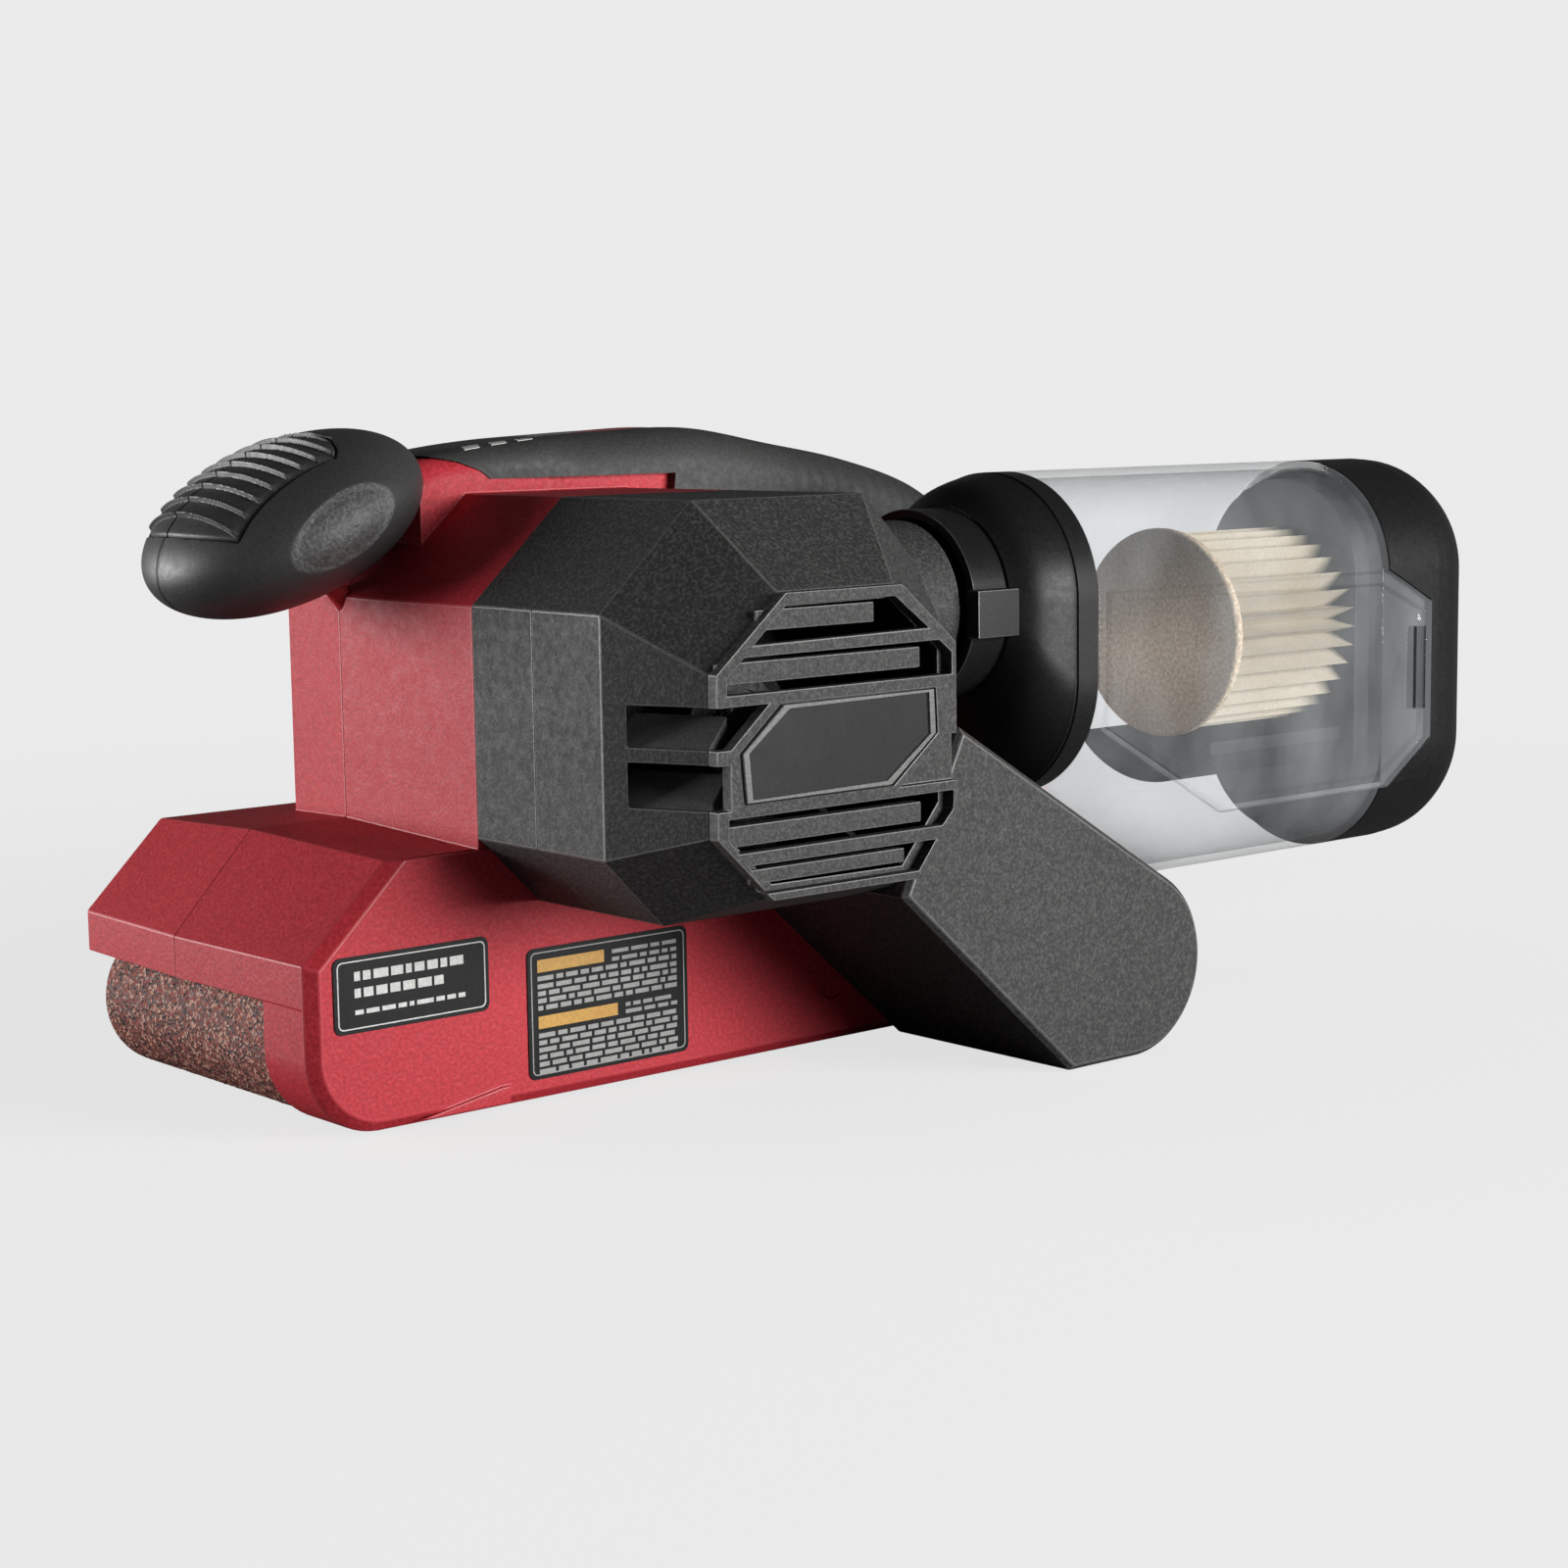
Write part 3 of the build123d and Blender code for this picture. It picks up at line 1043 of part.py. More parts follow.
def build():
    left, right = housing_halves()
    keep("housing_left", left)
    keep("housing_right", right)
    singles = (
        sanding_belt, idler_roller, idler_bushings, idler_yoke, idler_axle, tension_lever, lever_pin,
        inner_frame, platen, cork_pad, tension_spring, drive_roller_core, roller_sleeve, drive_shaft,
        roller_bearings, drive_pulley, driven_pulley, drive_belt, stator_core, field_coils,
        armature_shaft, armature_core, armature_winding, commutator, carbon_brushes, brush_holders,
        motor_bearings, dust_fan, frame_bolts, fan_housing, motor_cover, vent_grille, badge_plate,
        belt_cover, label_front, label_rear, handle_grip, indicator_panel, trigger, trigger_spring,
        switch_body, lock_button, lock_spring, cord_gland, knob_pad, front_knob, knob_bolt,
        port_collar, canister_adapter, canister_body, end_cap, filter_frame, pleated_filter,
        filter_disc, housing_screws,
    )
    for make in singles:
        keep(make.__name__, make())


def write():
    os.makedirs("parts", exist_ok=True)
    for name, shape in PARTS.items():
        solids = shape if isinstance(shape, list) else list(shape.solids())
        whole = solids[0] if len(solids) == 1 else Compound(children=solids)
        export_step(whole, "parts/" + name + ".step")


build()
write()
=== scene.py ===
"""Handheld belt sander: surfaces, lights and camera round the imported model."""
import json
from math import asin, atan2, cos, hypot, pi, radians, sin

import bmesh
import bpy
import numpy as np
from mathutils import Matrix, Vector
from mathutils.bvhtree import BVHTree


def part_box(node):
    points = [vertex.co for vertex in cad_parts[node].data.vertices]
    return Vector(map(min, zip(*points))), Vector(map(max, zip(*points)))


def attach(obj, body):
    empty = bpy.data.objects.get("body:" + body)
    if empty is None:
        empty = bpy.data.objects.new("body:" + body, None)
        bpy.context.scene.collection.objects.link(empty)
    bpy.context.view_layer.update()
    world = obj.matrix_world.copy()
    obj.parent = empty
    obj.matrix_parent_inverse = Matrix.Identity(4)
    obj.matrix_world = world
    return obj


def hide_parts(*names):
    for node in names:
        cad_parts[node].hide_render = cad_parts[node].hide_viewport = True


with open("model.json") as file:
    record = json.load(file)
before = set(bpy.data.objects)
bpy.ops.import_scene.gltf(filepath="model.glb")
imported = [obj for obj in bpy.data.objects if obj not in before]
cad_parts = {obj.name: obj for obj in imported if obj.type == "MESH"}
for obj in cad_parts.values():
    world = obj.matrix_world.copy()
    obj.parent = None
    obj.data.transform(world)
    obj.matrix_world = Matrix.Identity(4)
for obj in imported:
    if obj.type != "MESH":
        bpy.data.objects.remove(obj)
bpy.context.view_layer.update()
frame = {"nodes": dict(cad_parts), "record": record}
NODES = frame["nodes"]
BODIES = frame["record"]["behaviour"]["bodies"]
BODY_OF = {node: body for body, members in BODIES.items() for node in members}
MM = 0.001
CENTRE = (0.05, -0.04, 0.08)  # metres; where the softboxes point
CAMERA_AT = (-0.41451, -0.57537, 0.15441)  # metres
CAMERA_TURN = (40.490, 7.527, 0.828)  # azimuth, pitch down and roll, in degrees
LENS, SENSOR = 66.917, 36.0
BACKDROP = 0.828

# Shared with the CAD, in millimetres and degrees.
IDLER_LOOP, DRIVE_LOOP = (-83.3, 17.3, 17.3), (83.3, 22.1, 22.1)  # sanding belt's turns: x, z, radius
BELT_T = 1.08
WALL_Y, BADGE_Y = -60.0, -129.6
HANDLE_Y = -6.2
PORT_Y = -66.0
# Handle sections: x, z, half height, half width, tilt. The first one lies over the neck and is visual only.
STATIONS = np.array([
    (-46.0, 128.9, 13.3, 15.4, 8), (-27.0, 131.0, 13.9, 15.4, 5), (-8.0, 132.2, 14.2, 17.0, 3),
    (12.0, 133.0, 14.4, 17.2, 1), (34.0, 133.6, 14.2, 17.0, -3), (58.0, 130.2, 13.6, 16.4, -10),
    (82.0, 125.6, 13.8, 16.4, -15), (104.0, 118.0, 14.4, 16.6, -27), (121.0, 104.5, 14.4, 16.6, -50),
    (128.5, 87.0, 14.0, 16.4, -82), (124.5, 69.0, 13.6, 16.2, -112), (114.0, 56.0, 13.4, 16.0, -130),
    (100.0, 43.5, 13.2, 15.8, -138),
])
GRIP_T = 2.6
GRIP_FRONT_CORNER, GRIP_CORNER = 0.46, 0.72  # corner radius as a share of the half height
KNOB_AT = (-74.6, HANDLE_Y, 128.6)
KNOB_AXES = (33.6, 31.0, 17.0)
KNOB_TILT = -24.0
CAN_HALF_W, CAN_TOP_C = 30.0, 106.0
CAN_LOW_FRONT, CAN_LOW = 87.0, 61.5  # centres of the lower round, at the hood and at the cap
# Raised panel on the canister's near side: x, z.
PANEL = [(97.0, 107.5), (205.0, 107.5), (223.0, 98.5), (223.0, 62.0), (205.0, 50.0), (139.0, 50.0),
         (97.0, 74.0)]


# --- node trees --------------------------------------------------------------------
def add(tree, kind, values=(), **settings):
    node = tree.nodes.new(kind)
    for key, value in settings.items():
        setattr(node, key, value)
    for key, value in dict(values).items():
        node.inputs[key].default_value = value
    return node


def noise(tree, vector, scale, detail=2.0, rough=0.5):
    node = add(tree, "ShaderNodeTexNoise", {"Scale": scale, "Detail": detail, "Roughness": rough})
    tree.links.new(vector, node.inputs["Vector"])
    return node.outputs["Fac"]


def ranged(tree, value, low, high, to_low, to_high):
    node = add(tree, "ShaderNodeMapRange",
               {"From Min": low, "From Max": high, "To Min": to_low, "To Max": to_high})
    tree.links.new(value, node.inputs["Value"])
    return node.outputs["Result"]


def mixed(tree, factor, a, b):
    """Colour mix; a and b are sockets or colours."""
    node = add(tree, "ShaderNodeMix", data_type="RGBA")
    tree.links.new(factor, node.inputs[0])
    for socket, value in ((node.inputs[6], a), (node.inputs[7], b)):
        if isinstance(value, tuple):
            socket.default_value = (*value, 1.0)
        else:
            tree.links.new(value, socket)
    return node.outputs[2]


def scaled(tree, vector, factors):
    node = add(tree, "ShaderNodeMapping", {"Scale": factors})
    tree.links.new(vector, node.inputs["Vector"])
    return node.outputs["Vector"]


def start(name):
    material = bpy.data.materials.new(name)
    material.use_nodes = True
    tree = material.node_tree
    tree.nodes.clear()
    place = add(tree, "ShaderNodeTexCoord").outputs["Object"]
    return material, tree, place


def close(tree, shader):
    tree.links.new(shader, add(tree, "ShaderNodeOutputMaterial").inputs["Surface"])


def surface(name, light, dark, rough=(0.42, 0.58), grain=1500.0, depth=0.05, speckle=0.2, drift=20.0,
            stretch=(1.0, 1.0, 1.0), metallic=0.0, specular=0.5, coat=0.0, coat_rough=0.1, sheen=0.0):
    """Broad drift and fine speckle in the colour, and a grain in gloss and relief."""
    material, tree, place = start(name)
    place = scaled(tree, place, stretch)
    fine = noise(tree, place, grain, 2.0, 0.55)
    broad = noise(tree, place, drift, 4.0, 0.6)
    base = mixed(tree, ranged(tree, broad, 0.3, 0.7, 0.0, 1.0), dark, light)
    deep = tuple(c * 0.35 for c in dark)
    base = mixed(tree, ranged(tree, fine, 0.56, 0.3, 0.0, speckle), base, deep)
    pale = tuple(min(1.0, c * 1.5 + 0.03) for c in light)
    base = mixed(tree, ranged(tree, fine, 0.5, 0.75, 0.0, speckle), base, pale)
    shader = add(tree, "ShaderNodeBsdfPrincipled", {
        "Metallic": metallic, "Specular IOR Level": specular, "Coat Weight": coat,
        "Coat Roughness": coat_rough, "Sheen Weight": sheen})
    tree.links.new(base, shader.inputs["Base Color"])
    gloss = noise(tree, place, grain * 0.35, 3.0, 0.6)
    tree.links.new(ranged(tree, gloss, 0.3, 0.7, *rough), shader.inputs["Roughness"])
    bump = add(tree, "ShaderNodeBump", {"Strength": 1.0, "Distance": depth * MM})
    tree.links.new(fine, bump.inputs["Height"])
    tree.links.new(bump.outputs["Normal"], shader.inputs["Normal"])
    close(tree, shader.outputs["BSDF"])
    return material


def clear_plastic(name):
    """Thin clear plastic: see-through, a little milky, with a sharp gloss."""
    material, tree, place = start(name)
    cloud = noise(tree, scaled(tree, place, (1.0, 1.0, 0.45)), 26.0, 4.0, 0.6)
    clear = add(tree, "ShaderNodeBsdfTransparent", {"Color": (0.992, 0.997, 1.0, 1.0)})
    milk = add(tree, "ShaderNodeBsdfDiffuse", {"Color": (0.86, 0.90, 0.93, 1.0)})
    gloss = add(tree, "ShaderNodeBsdfGlossy", {"Color": (1.0, 1.0, 1.0, 1.0), "Roughness": 0.06})
    haze = add(tree, "ShaderNodeMixShader")
    tree.links.new(ranged(tree, cloud, 0.35, 0.7, 0.03, 0.12), haze.inputs[0])
    tree.links.new(clear.outputs[0], haze.inputs[1])
    tree.links.new(milk.outputs[0], haze.inputs[2])
    slant = add(tree, "ShaderNodeLayerWeight", {"Blend": 0.5})
    steep = add(tree, "ShaderNodeMath", {1: 3.5}, operation="POWER")
    tree.links.new(slant.outputs["Facing"], steep.inputs[0])
    shine = add(tree, "ShaderNodeMixShader")
    tree.links.new(ranged(tree, steep.outputs[0], 0.0, 1.0, 0.025, 0.38), shine.inputs[0])
    tree.links.new(haze.outputs[0], shine.inputs[1])
    tree.links.new(gloss.outputs[0], shine.inputs[2])
    close(tree, shine.outputs[0])
    return material


def grit(name):
    """Sanding grit: dark resin with brown, pink and tan grains."""
    material, tree, place = start(name)
    cells = add(tree, "ShaderNodeTexVoronoi", {"Scale": 1500.0, "Randomness": 1.0})
    tree.links.new(place, cells.inputs["Vector"])
    split = add(tree, "ShaderNodeSeparateColor")
    tree.links.new(cells.outputs["Color"], split.inputs["Color"])
    one, two = split.outputs["Red"], split.outputs["Green"]
    base = mixed(tree, ranged(tree, one, 0.3, 0.9, 0.0, 1.0), (0.075, 0.018, 0.014), (0.33, 0.085, 0.065))
    base = mixed(tree, ranged(tree, two, 0.80, 0.84, 0.0, 1.0), base, (0.50, 0.27, 0.20))
    base = mixed(tree, ranged(tree, two, 0.16, 0.12, 0.0, 1.0), base, (0.018, 0.012, 0.012))
    broad = noise(tree, place, 60.0, 4.0, 0.6)
    base = mixed(tree, ranged(tree, broad, 0.45, 0.75, 0.0, 0.35), base, (0.16, 0.06, 0.05))
    shader = add(tree, "ShaderNodeBsdfPrincipled", {"Specular IOR Level": 0.4})
    tree.links.new(base, shader.inputs["Base Color"])
    tree.links.new(ranged(tree, one, 0.0, 1.0, 0.5, 0.9), shader.inputs["Roughness"])
    bump = add(tree, "ShaderNodeBump", {"Strength": 1.0, "Distance": 0.25 * MM})
    tree.links.new(cells.outputs["Distance"], bump.inputs["Height"])
    tree.links.new(bump.outputs["Normal"], shader.inputs["Normal"])
    close(tree, shader.outputs["BSDF"])
    return material


RED = surface("red_shell", (0.50, 0.032, 0.045), (0.44, 0.026, 0.038), (0.48, 0.60), 1150, 0.11, 0.32, 14,
              specular=0.22)
# Paler, glossier copy of the red, laid on bevel faces: a painted highlight along the edges.
RED_EDGE_HIGHLIGHT = surface("red_edge_highlight", (0.54, 0.055, 0.07), (0.46, 0.04, 0.052), (0.36, 0.46), 1500, 0.02, 0.10, 60,
                   specular=0.3)
CHARCOAL = surface("charcoal_grain", (0.041, 0.040, 0.039), (0.033, 0.032, 0.031), (0.58, 0.74), 1300, 0.12,
                   0.75, 16, specular=0.36)
# Paler copy of the charcoal, for bevel faces, the badge rim and the vent wedges: a painted highlight.
CHARCOAL_EDGE_HIGHLIGHT = surface("charcoal_edge_highlight", (0.115, 0.11, 0.108), (0.08, 0.077, 0.075), (0.40, 0.5), 1500,
                        0.05, 0.3, 60)
BLACK = surface("black_satin", (0.010, 0.0104, 0.011), (0.007, 0.0073, 0.008), (0.34, 0.46), 1800, 0.02,
                0.15, 18, specular=0.2)
# Paler copy of the black, laid on bevel faces: a painted highlight along the edges.
BLACK_EDGE_HIGHLIGHT = surface("black_edge_highlight", (0.05, 0.05, 0.052), (0.035, 0.035, 0.036), (0.25, 0.35), 1500, 0.02,
                     0.1, 60)
KNOB_BLACK = surface("knob_black", (0.040, 0.0405, 0.041), (0.031, 0.0315, 0.032), (0.42, 0.54), 1700, 0.03,
                     0.22, 22)
KNOB_PATCH = surface("knob_patch", (0.084, 0.084, 0.083), (0.064, 0.064, 0.063), (0.5, 0.62), 1250, 0.16,
                     0.6, 30)
GRIP = surface("grip_rubber", (0.040, 0.040, 0.039), (0.032, 0.032, 0.031), (0.58, 0.74), 1500, 0.06, 0.30,
               24)
GRIT = grit("abrasive_grit")
CLOTH = surface("belt_backing", (0.42, 0.30, 0.16), (0.34, 0.23, 0.12), (0.75, 0.9), 1100, 0.12, 0.4, 40,
                (1, 2.2, 1))
CORK = surface("cork", (0.42, 0.25, 0.12), (0.24, 0.13, 0.06), (0.8, 0.95), 700, 0.12, 0.6, 260)
RUBBER = surface("roller_rubber", (0.028, 0.028, 0.028), (0.02, 0.02, 0.02), (0.6, 0.75), 1300, 0.05, 0.2, 30)
CLEAR = clear_plastic("clear_plastic")
PAPER = surface("filter_paper", (0.62, 0.55, 0.44), (0.54, 0.46, 0.34), (0.8, 0.95), 1600, 0.05, 0.15, 50)
FOAM = surface("filter_foam", (0.78, 0.62, 0.46), (0.68, 0.52, 0.37), (0.85, 0.97), 1000, 0.2, 0.5, 70,
               specular=0.05)
FILM = surface("label_film", (0.012, 0.0125, 0.013), (0.009, 0.0095, 0.010), (0.36, 0.46), 900, 0.01, 0.1,
               40, specular=0.12)
INK = surface("label_ink", (0.62, 0.62, 0.60), (0.52, 0.52, 0.50), (0.4, 0.5), 1500, 0.01, 0.2, 60)
INK_DIM = surface("label_ink_dim", (0.30, 0.30, 0.29), (0.24, 0.24, 0.23), (0.4, 0.5), 1500, 0.01, 0.2, 60)
AMBER = surface("label_amber", (0.52, 0.28, 0.03), (0.44, 0.22, 0.02), (0.4, 0.5), 1500, 0.01, 0.2, 60)
BADGE = surface("badge_face", (0.014, 0.0145, 0.015), (0.010, 0.0105, 0.011), (0.34, 0.44), 900, 0.012, 0.1,
                40, specular=0.12)
INLAY = surface("red_inlay", (0.60, 0.035, 0.06), (0.50, 0.025, 0.045), (0.3, 0.4), 1500, 0.02, 0.1, 60)
STEEL = surface("steel", (0.60, 0.60, 0.61), (0.46, 0.46, 0.47), (0.22, 0.36), 900, 0.01, 0.1, 60,
                (1, 0.12, 1), 1.0)
SHEET = surface("sheet_steel", (0.62, 0.63, 0.64), (0.52, 0.53, 0.54), (0.3, 0.45), 700, 0.01, 0.15, 40,
                (0.1, 1, 1), 1.0)
SCREW = surface("screw_steel", (0.30, 0.30, 0.31), (0.20, 0.20, 0.21), (0.3, 0.42), 1500, 0.02, 0.2, 90,
                metallic=1.0)
SPRING = surface("spring_steel", (0.5, 0.5, 0.52), (0.36, 0.36, 0.38), (0.24, 0.34), 1500, 0.01, 0.2, 90,
                 metallic=1.0)
RACE = surface("bearing_steel", (0.72, 0.72, 0.73), (0.6, 0.6, 0.61), (0.14, 0.22), 1200, 0.005, 0.08, 60,
               metallic=1.0)
STACK = surface("lamination_steel", (0.34, 0.34, 0.35), (0.22, 0.22, 0.23), (0.38, 0.5), 1500, 0.06, 0.5, 30,
                (0.15, 1.4, 0.15), 1.0)
CAST = surface("cast_alloy", (0.58, 0.59, 0.60), (0.46, 0.47, 0.48), (0.42, 0.58), 800, 0.06, 0.2, 50,
               metallic=1.0)
BRONZE = surface("bronze", (0.50, 0.30, 0.13), (0.38, 0.21, 0.09), (0.3, 0.42), 1300, 0.02, 0.2, 60,
                 metallic=1.0)
WIRE = surface("copper_wire", (0.62, 0.24, 0.10), (0.42, 0.13, 0.05), (0.25, 0.4), 1400, 0.12, 0.55, 60,
               (1, 0.2, 1), 1.0, coat=0.5)
BARS = surface("copper_bars", (0.68, 0.32, 0.17), (0.5, 0.2, 0.1), (0.2, 0.32), 900, 0.03, 0.3, 60,
               (1, 0.1, 1), 1.0)
CARBON = surface("carbon", (0.03, 0.03, 0.031), (0.018, 0.018, 0.019), (0.35, 0.5), 1500, 0.03, 0.3, 60)


# --- finishing of CAD nodes ------------------------------------------------------------
def smooth_group(angle):
    """Smooth faces, with edges over the angle kept sharp."""
    group = bpy.data.node_groups.new("smooth_by_angle", "GeometryNodeTree")
    group.interface.new_socket("Geometry", in_out="INPUT", socket_type="NodeSocketGeometry")
    group.interface.new_socket("Geometry", in_out="OUTPUT", socket_type="NodeSocketGeometry")
    source = group.nodes.new("NodeGroupInput")
    sink = group.nodes.new("NodeGroupOutput")
    faces = group.nodes.new("GeometryNodeSetShadeSmooth")
    faces.domain = "FACE"
    edges = group.nodes.new("GeometryNodeSetShadeSmooth")
    edges.domain = "EDGE"
    edges.inputs["Shade Smooth"].default_value = False
    bend = group.nodes.new("GeometryNodeInputMeshEdgeAngle")
    over = group.nodes.new("ShaderNodeMath")
    over.operation = "GREATER_THAN"
    over.inputs[1].default_value = radians(angle)
    group.links.new(bend.outputs["Unsigned Angle"], over.inputs[0])
    group.links.new(over.outputs[0], edges.inputs["Selection"])
    group.links.new(source.outputs[0], faces.inputs["Geometry"])
    group.links.new(faces.outputs[0], edges.inputs["Geometry"])
    group.links.new(edges.outputs[0], sink.inputs[0])
    return group


SMOOTH = smooth_group(32)


def finish_node(name, material, edge=None, width=0.35, angle=32, clamp=True):
    """Material, softened edges and even shading for a CAD node; an edge material paints a highlight on the
    bevel faces.
    """
    node = NODES[name]
    for place in node.material_slots:
        place.material = material
    weld = node.modifiers.new("weld", "WELD")
    weld.merge_threshold = 2e-6
    if width:
        planes = node.modifiers.new("planes", "DECIMATE")
        planes.decimate_type = "DISSOLVE"
        planes.angle_limit = radians(0.6)
        bevel = node.modifiers.new("edges", "BEVEL")
        bevel.width = width * MM
        bevel.segments = 2
        bevel.limit_method = "ANGLE"
        bevel.angle_limit = radians(angle)
        bevel.use_clamp_overlap = clamp
        # The edge material on the bevel faces is a painted highlight along the edges.
        if edge is not None:
            node.data.materials.append(edge)
            bevel.material = len(node.data.materials) - 1
    smooth = node.modifiers.new("smooth", "NODES")
    smooth.node_group = SMOOTH
    weighted = node.modifiers.new("shading", "WEIGHTED_NORMAL")
    weighted.keep_sharp = True


PLAIN = {
    "inner_frame": CAST, "idler_roller": BLACK, "idler_bushings": BRONZE, "idler_yoke": CAST,
    "idler_axle": STEEL, "tension_lever": SHEET, "lever_pin": STEEL, "platen": SHEET,
    "cork_pad": CORK, "tension_spring": SPRING,
    "drive_roller_core": CAST, "roller_sleeve": RUBBER, "drive_shaft": STEEL, "roller_bearings": RACE,
    "drive_pulley": STEEL, "driven_pulley": BLACK, "drive_belt": RUBBER, "stator_core": STACK,
    "field_coils": WIRE, "armature_shaft": STEEL, "armature_core": STACK, "armature_winding": WIRE,
    "commutator": BARS, "carbon_brushes": CARBON, "brush_holders": BLACK, "motor_bearings": RACE,
    "dust_fan": BLACK, "trigger_spring": SPRING, "lock_spring": SPRING, "switch_body": BLACK,
    "knob_bolt": RED,
}
for part, stuff in PLAIN.items():
    finish_node(part, stuff, None, 0.0)
# Housings, covers, collar, trigger and lock button: their bevels carry the paler edge copies, painted
# highlights along the edges.
finish_node("housing_left", RED, RED_EDGE_HIGHLIGHT, 0.4, 20, False)
finish_node("housing_right", RED, RED_EDGE_HIGHLIGHT, 0.4, 20, False)
finish_node("fan_housing", CHARCOAL, CHARCOAL_EDGE_HIGHLIGHT, 0.35, 20, False)
finish_node("motor_cover", CHARCOAL, CHARCOAL_EDGE_HIGHLIGHT, 0.35, 20, False)
finish_node("belt_cover", CHARCOAL, CHARCOAL_EDGE_HIGHLIGHT, 0.35, 20, False)
finish_node("vent_grille", CHARCOAL, CHARCOAL_EDGE_HIGHLIGHT, 0.25, 20, False)
finish_node("port_collar", BLACK, BLACK_EDGE_HIGHLIGHT, 0.3)
finish_node("trigger", BLACK, BLACK_EDGE_HIGHLIGHT, 0.6)
finish_node("lock_button", BLACK, BLACK_EDGE_HIGHLIGHT, 0.6)
finish_node("cord_gland", RUBBER, None, 0.5)
finish_node("frame_bolts", RED, None, 0.2)
finish_node("housing_screws", SCREW, None, 0.2)


# --- mesh helpers ------------------------------------------------------------------------
def piece(name, node, vertices, faces, materials, face_material=None, smooth=True, more=()):
    """New piece that stands for a CAD node and rides on its body; vertices in millimetres."""
    mesh = bpy.data.meshes.new(name)
    mesh.from_pydata([tuple(float(c) * MM for c in v) for v in vertices], [],
                     [tuple(int(i) for i in f) for f in faces])
    for material in materials:
        mesh.materials.append(material)
    if face_material is not None:
        mesh.polygons.foreach_set("material_index", np.asarray(face_material, np.int32))
    mesh.polygons.foreach_set("use_smooth", np.full(len(mesh.polygons), smooth))
    mesh.update()
    thing = bpy.data.objects.new(name, mesh)
    bpy.context.scene.collection.objects.link(thing)
    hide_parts(node, *more)
    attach(thing, BODY_OF[node])
    return thing


def ring_faces(rows, columns, closed_rows=False, closed_columns=True):
    """Quads of a grid whose columns run round and whose rows follow one another."""
    row = np.arange(rows if closed_rows else rows - 1)
    column = np.arange(columns if closed_columns else columns - 1)
    r, c = np.meshgrid(row, column, indexing="ij")
    r1, c1 = (r + 1) % rows, (c + 1) % columns
    return np.stack([r * columns + c, r * columns + c1, r1 * columns + c1, r1 * columns + c],
                    -1).reshape(-1, 4)


def outward(thing):
    """Turns all faces outwards."""
    bm = bmesh.new()
    bm.from_mesh(thing.data)
    bmesh.ops.recalc_face_normals(bm, faces=bm.faces)
    bm.to_mesh(thing.data)
    bm.free()
    return thing


def drawn_in(points, centre, amount):
    """Outline with each point moved towards a centre."""
    cx, cz = centre
    result = []
    for x, z in points:
        reach = hypot(x - cx, z - cz)
        k = (reach - amount) / reach
        result.append((cx + (x - cx) * k, cz + (z - cz) * k))
    return result


def sheet_faces(long, wide):
    """Faces of a closed sheet: a grid of top points, then the same grid of bottom points."""
    count = long * wide
    grid = ring_faces(long, wide, closed_columns=False)
    faces = [tuple(f) for f in grid] + [tuple(f[::-1] + count) for f in grid]
    rim = ([i * wide for i in range(long)] + [(long - 1) * wide + j for j in range(1, wide)]
           + [i * wide + wide - 1 for i in range(long - 2, -1, -1)] + list(range(wide - 2, 0, -1)))
    for i, here in enumerate(rim):
        after = rim[(i + 1) % len(rim)]
        faces.append((here, after, after + count, here + count))
    return faces


def prism_mesh(points, y0, y1):
    """Closed prism of an X, Z outline between two Y planes."""
    n = len(points)
    vertices = [(x, y, z) for y in (y0, y1) for x, z in points]
    faces = [tuple(range(n)), tuple(reversed(range(n, 2 * n)))]
    faces += [(i, i + n, (i + 1) % n + n, (i + 1) % n) for i in range(n)]
    return vertices, faces


def cutter(vertices, faces):
    mesh = bpy.data.meshes.new("cutter")
    mesh.from_pydata([tuple(float(c) * MM for c in v) for v in vertices], [],
                     [tuple(int(i) for i in f) for f in faces])
    thing = bpy.data.objects.new("cutter", mesh)
    bpy.context.scene.collection.objects.link(thing)
    return outward(thing)


def cylinder_mesh(axis, centre, radius, start, end, count=64):
    """Closed cylinder along X or Y; centre is its place in the other two axes."""
    vertices = []
    for along in (start, end):
        for i in range(count):
            a, b = centre[0] + radius * cos(2 * pi * i / count), centre[1] + radius * sin(2 * pi * i / count)
            vertices.append((along, a, b) if axis == "x" else (a, along, b))
    faces = [tuple(range(count)), tuple(reversed(range(count, 2 * count)))]
    faces += [tuple(f) for f in ring_faces(2, count)]
    return vertices, faces


def carve(thing, cutters, operation="DIFFERENCE"):
    """Boolean each cutter into the piece and apply it."""
    for vertices, faces in cutters:
        tool = cutter(vertices, faces)
        step = thing.modifiers.new("carve", "BOOLEAN")
        step.operation = operation
        step.solver = "EXACT"
        step.object = tool
        apply_modifiers(thing)
        bpy.data.objects.remove(tool)
    return thing


def apply_modifiers(thing):
    graph = bpy.context.evaluated_depsgraph_get()
    made = bpy.data.meshes.new_from_object(thing.evaluated_get(graph), depsgraph=graph)
    old = thing.data
    thing.modifiers.clear()
    thing.data = made
    bpy.data.meshes.remove(old)


def soften(thing, width, edge=None, angle=35, segments=2):
    bevel = thing.modifiers.new("edges", "BEVEL")
    bevel.width = width * MM
    bevel.segments = segments
    bevel.limit_method = "ANGLE"
    bevel.angle_limit = radians(angle)
    # An edge material on the bevel faces paints a highlight along the edges.
    if edge is not None:
        thing.data.materials.append(edge)
        bevel.material = len(thing.data.materials) - 1
    smooth = thing.modifiers.new("smooth", "NODES")
    smooth.node_group = SMOOTH
    weighted = thing.modifiers.new("shading", "WEIGHTED_NORMAL")
    weighted.keep_sharp = True
    return thing


